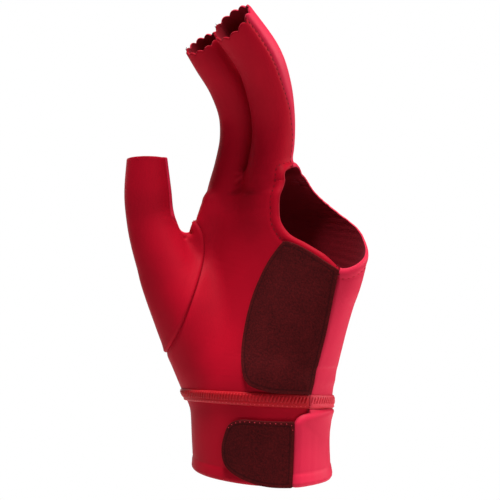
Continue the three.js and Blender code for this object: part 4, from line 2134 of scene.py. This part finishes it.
@dataclass(frozen=True)
class Studio:
    """Camera, soft lights, backdrop and floor. Lengths but the lens are in metres.

    Attributes:
        lens: lens in millimetres.
        rise: height of the camera over the horizon, in degrees.
        distance: distance of the camera from the point that it looks at.
        aim: how far that point lies to the right and up in the picture.
        floor_level: height of the floor.
        floor_radius: radius of the floor.
        even_light: strength of the light that comes from all sides.
        lights: the soft lights.
    """

    lens: float = 101.45
    rise: float = 2.5
    distance: float = 0.62
    aim: tuple[float, float] = (-0.00484, 0.06512)
    floor_level: float = -0.25
    floor_radius: float = 0.85
    even_light: float = 0.04
    lights: tuple[Light, ...] = (
        Light("top", (-0.04, 1.0, 0.2), strength=5.0, spread=18),
        Light("right", (0.95, 0.25, -0.2), strength=1.85, spread=30),
        Light("front", (0.6, 0.5, 0.6), strength=0.75, spread=40),
        Light("behind", (-0.4, 0.3, -0.85), strength=1.0, spread=60),
    )

    def axes(self) -> tuple[np.ndarray, np.ndarray, np.ndarray]:
        """Right, up and back as the camera sees them."""
        right = ACROSS
        rise = math.radians(self.rise)
        back = TOWARDS * math.cos(rise) + np.array([0, 0, math.sin(rise)])
        return right, np.cross(back, right), back

    @staticmethod
    def turn(made: bpy.types.Object, *columns: np.ndarray) -> None:
        """Turns an object to three axes and, where a fourth column is given, moves it there."""
        matrix = np.eye(4)
        matrix[:3, : len(columns)] = np.column_stack(columns)
        made.matrix_world = Matrix(matrix.tolist())

    def camera(self) -> None:
        """Adds the camera, which looks at the palm side from a little above."""
        right, up, back = self.axes()
        place = right * self.aim[0] + up * self.aim[1] + back * self.distance
        data = bpy.data.cameras.new("camera")
        data.lens = self.lens
        data.sensor_width = SENSOR_MM
        data.clip_start, data.clip_end = CLIP_M
        camera = put("camera", data)
        self.turn(camera, right, up, back, place)
        bpy.context.scene.camera = camera

    def lamp(self, light: Light) -> None:
        """Adds a soft light."""
        data = bpy.data.lights.new(light.name, "SUN")
        data.energy = light.strength
        data.angle = math.radians(light.spread)
        towards = unit(sum(part * axis for part, axis in zip(light.direction, self.axes())))
        side = unit(np.cross([0.0, 0.0, 1.0], towards))
        self.turn(put(light.name, data), side, np.cross(towards, side), towards)

    def floor(self) -> None:
        """Adds the floor."""
        angle = 2 * np.pi * np.arange(FLOOR_POINTS) / FLOOR_POINTS
        ring = np.column_stack([np.cos(angle), np.sin(angle), np.zeros(FLOOR_POINTS)]) * self.floor_radius
        mesh = mesh_of("floor", ring, [tuple(range(FLOOR_POINTS))])
        mesh.materials.append(MattBoard("matt_painted_board_pale_grey", "#d2d2d0").make())
        made = put("floor", mesh)
        made.location.z = self.floor_level

    def backdrop(self) -> None:
        """White backdrop for the camera, and a dim even light for the glove."""
        world = bpy.data.worlds.new("backdrop")
        world.use_nodes = True
        nodes = Nodes(world.node_tree)
        seen = nodes.add("LightPath", {}, "Is Camera Ray")
        dim = nodes.add("Background", {"Color": linear("#ffffff"), "Strength": self.even_light})
        white = nodes.add("Background", {"Color": linear("#ffffff"), "Strength": 1.0})
        nodes.add("OutputWorld", {"Surface": nodes.add("MixShader", {0: seen, 1: dim, 2: white})})
        bpy.context.scene.world = world

    def build(self) -> None:
        """Adds all but the camera."""
        for light in self.lights:
            self.lamp(light)
        self.floor()
        self.backdrop()
        bpy.context.scene.view_settings.view_transform = "Standard"


def main() -> None:
    """Builds the glove in its studio and reports each piece."""
    logging.basicConfig(level=logging.INFO, format="%(message)s")
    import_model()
    studio = Studio()
    studio.camera()
    form = GloveForm()
    tailor = Tailor(form, Pattern())
    shop = Workshop(tailor, tailor.skin(), Finishes())
    Body().build(shop)
    PALM_PAD.build(shop, shop.finishes.pile)
    WRIST_TAB.build(shop, shop.finishes.pile)
    Cuff().build(shop)
    WristBand().build(shop)
    studio.build()


if __name__ == "__main__":
    main()
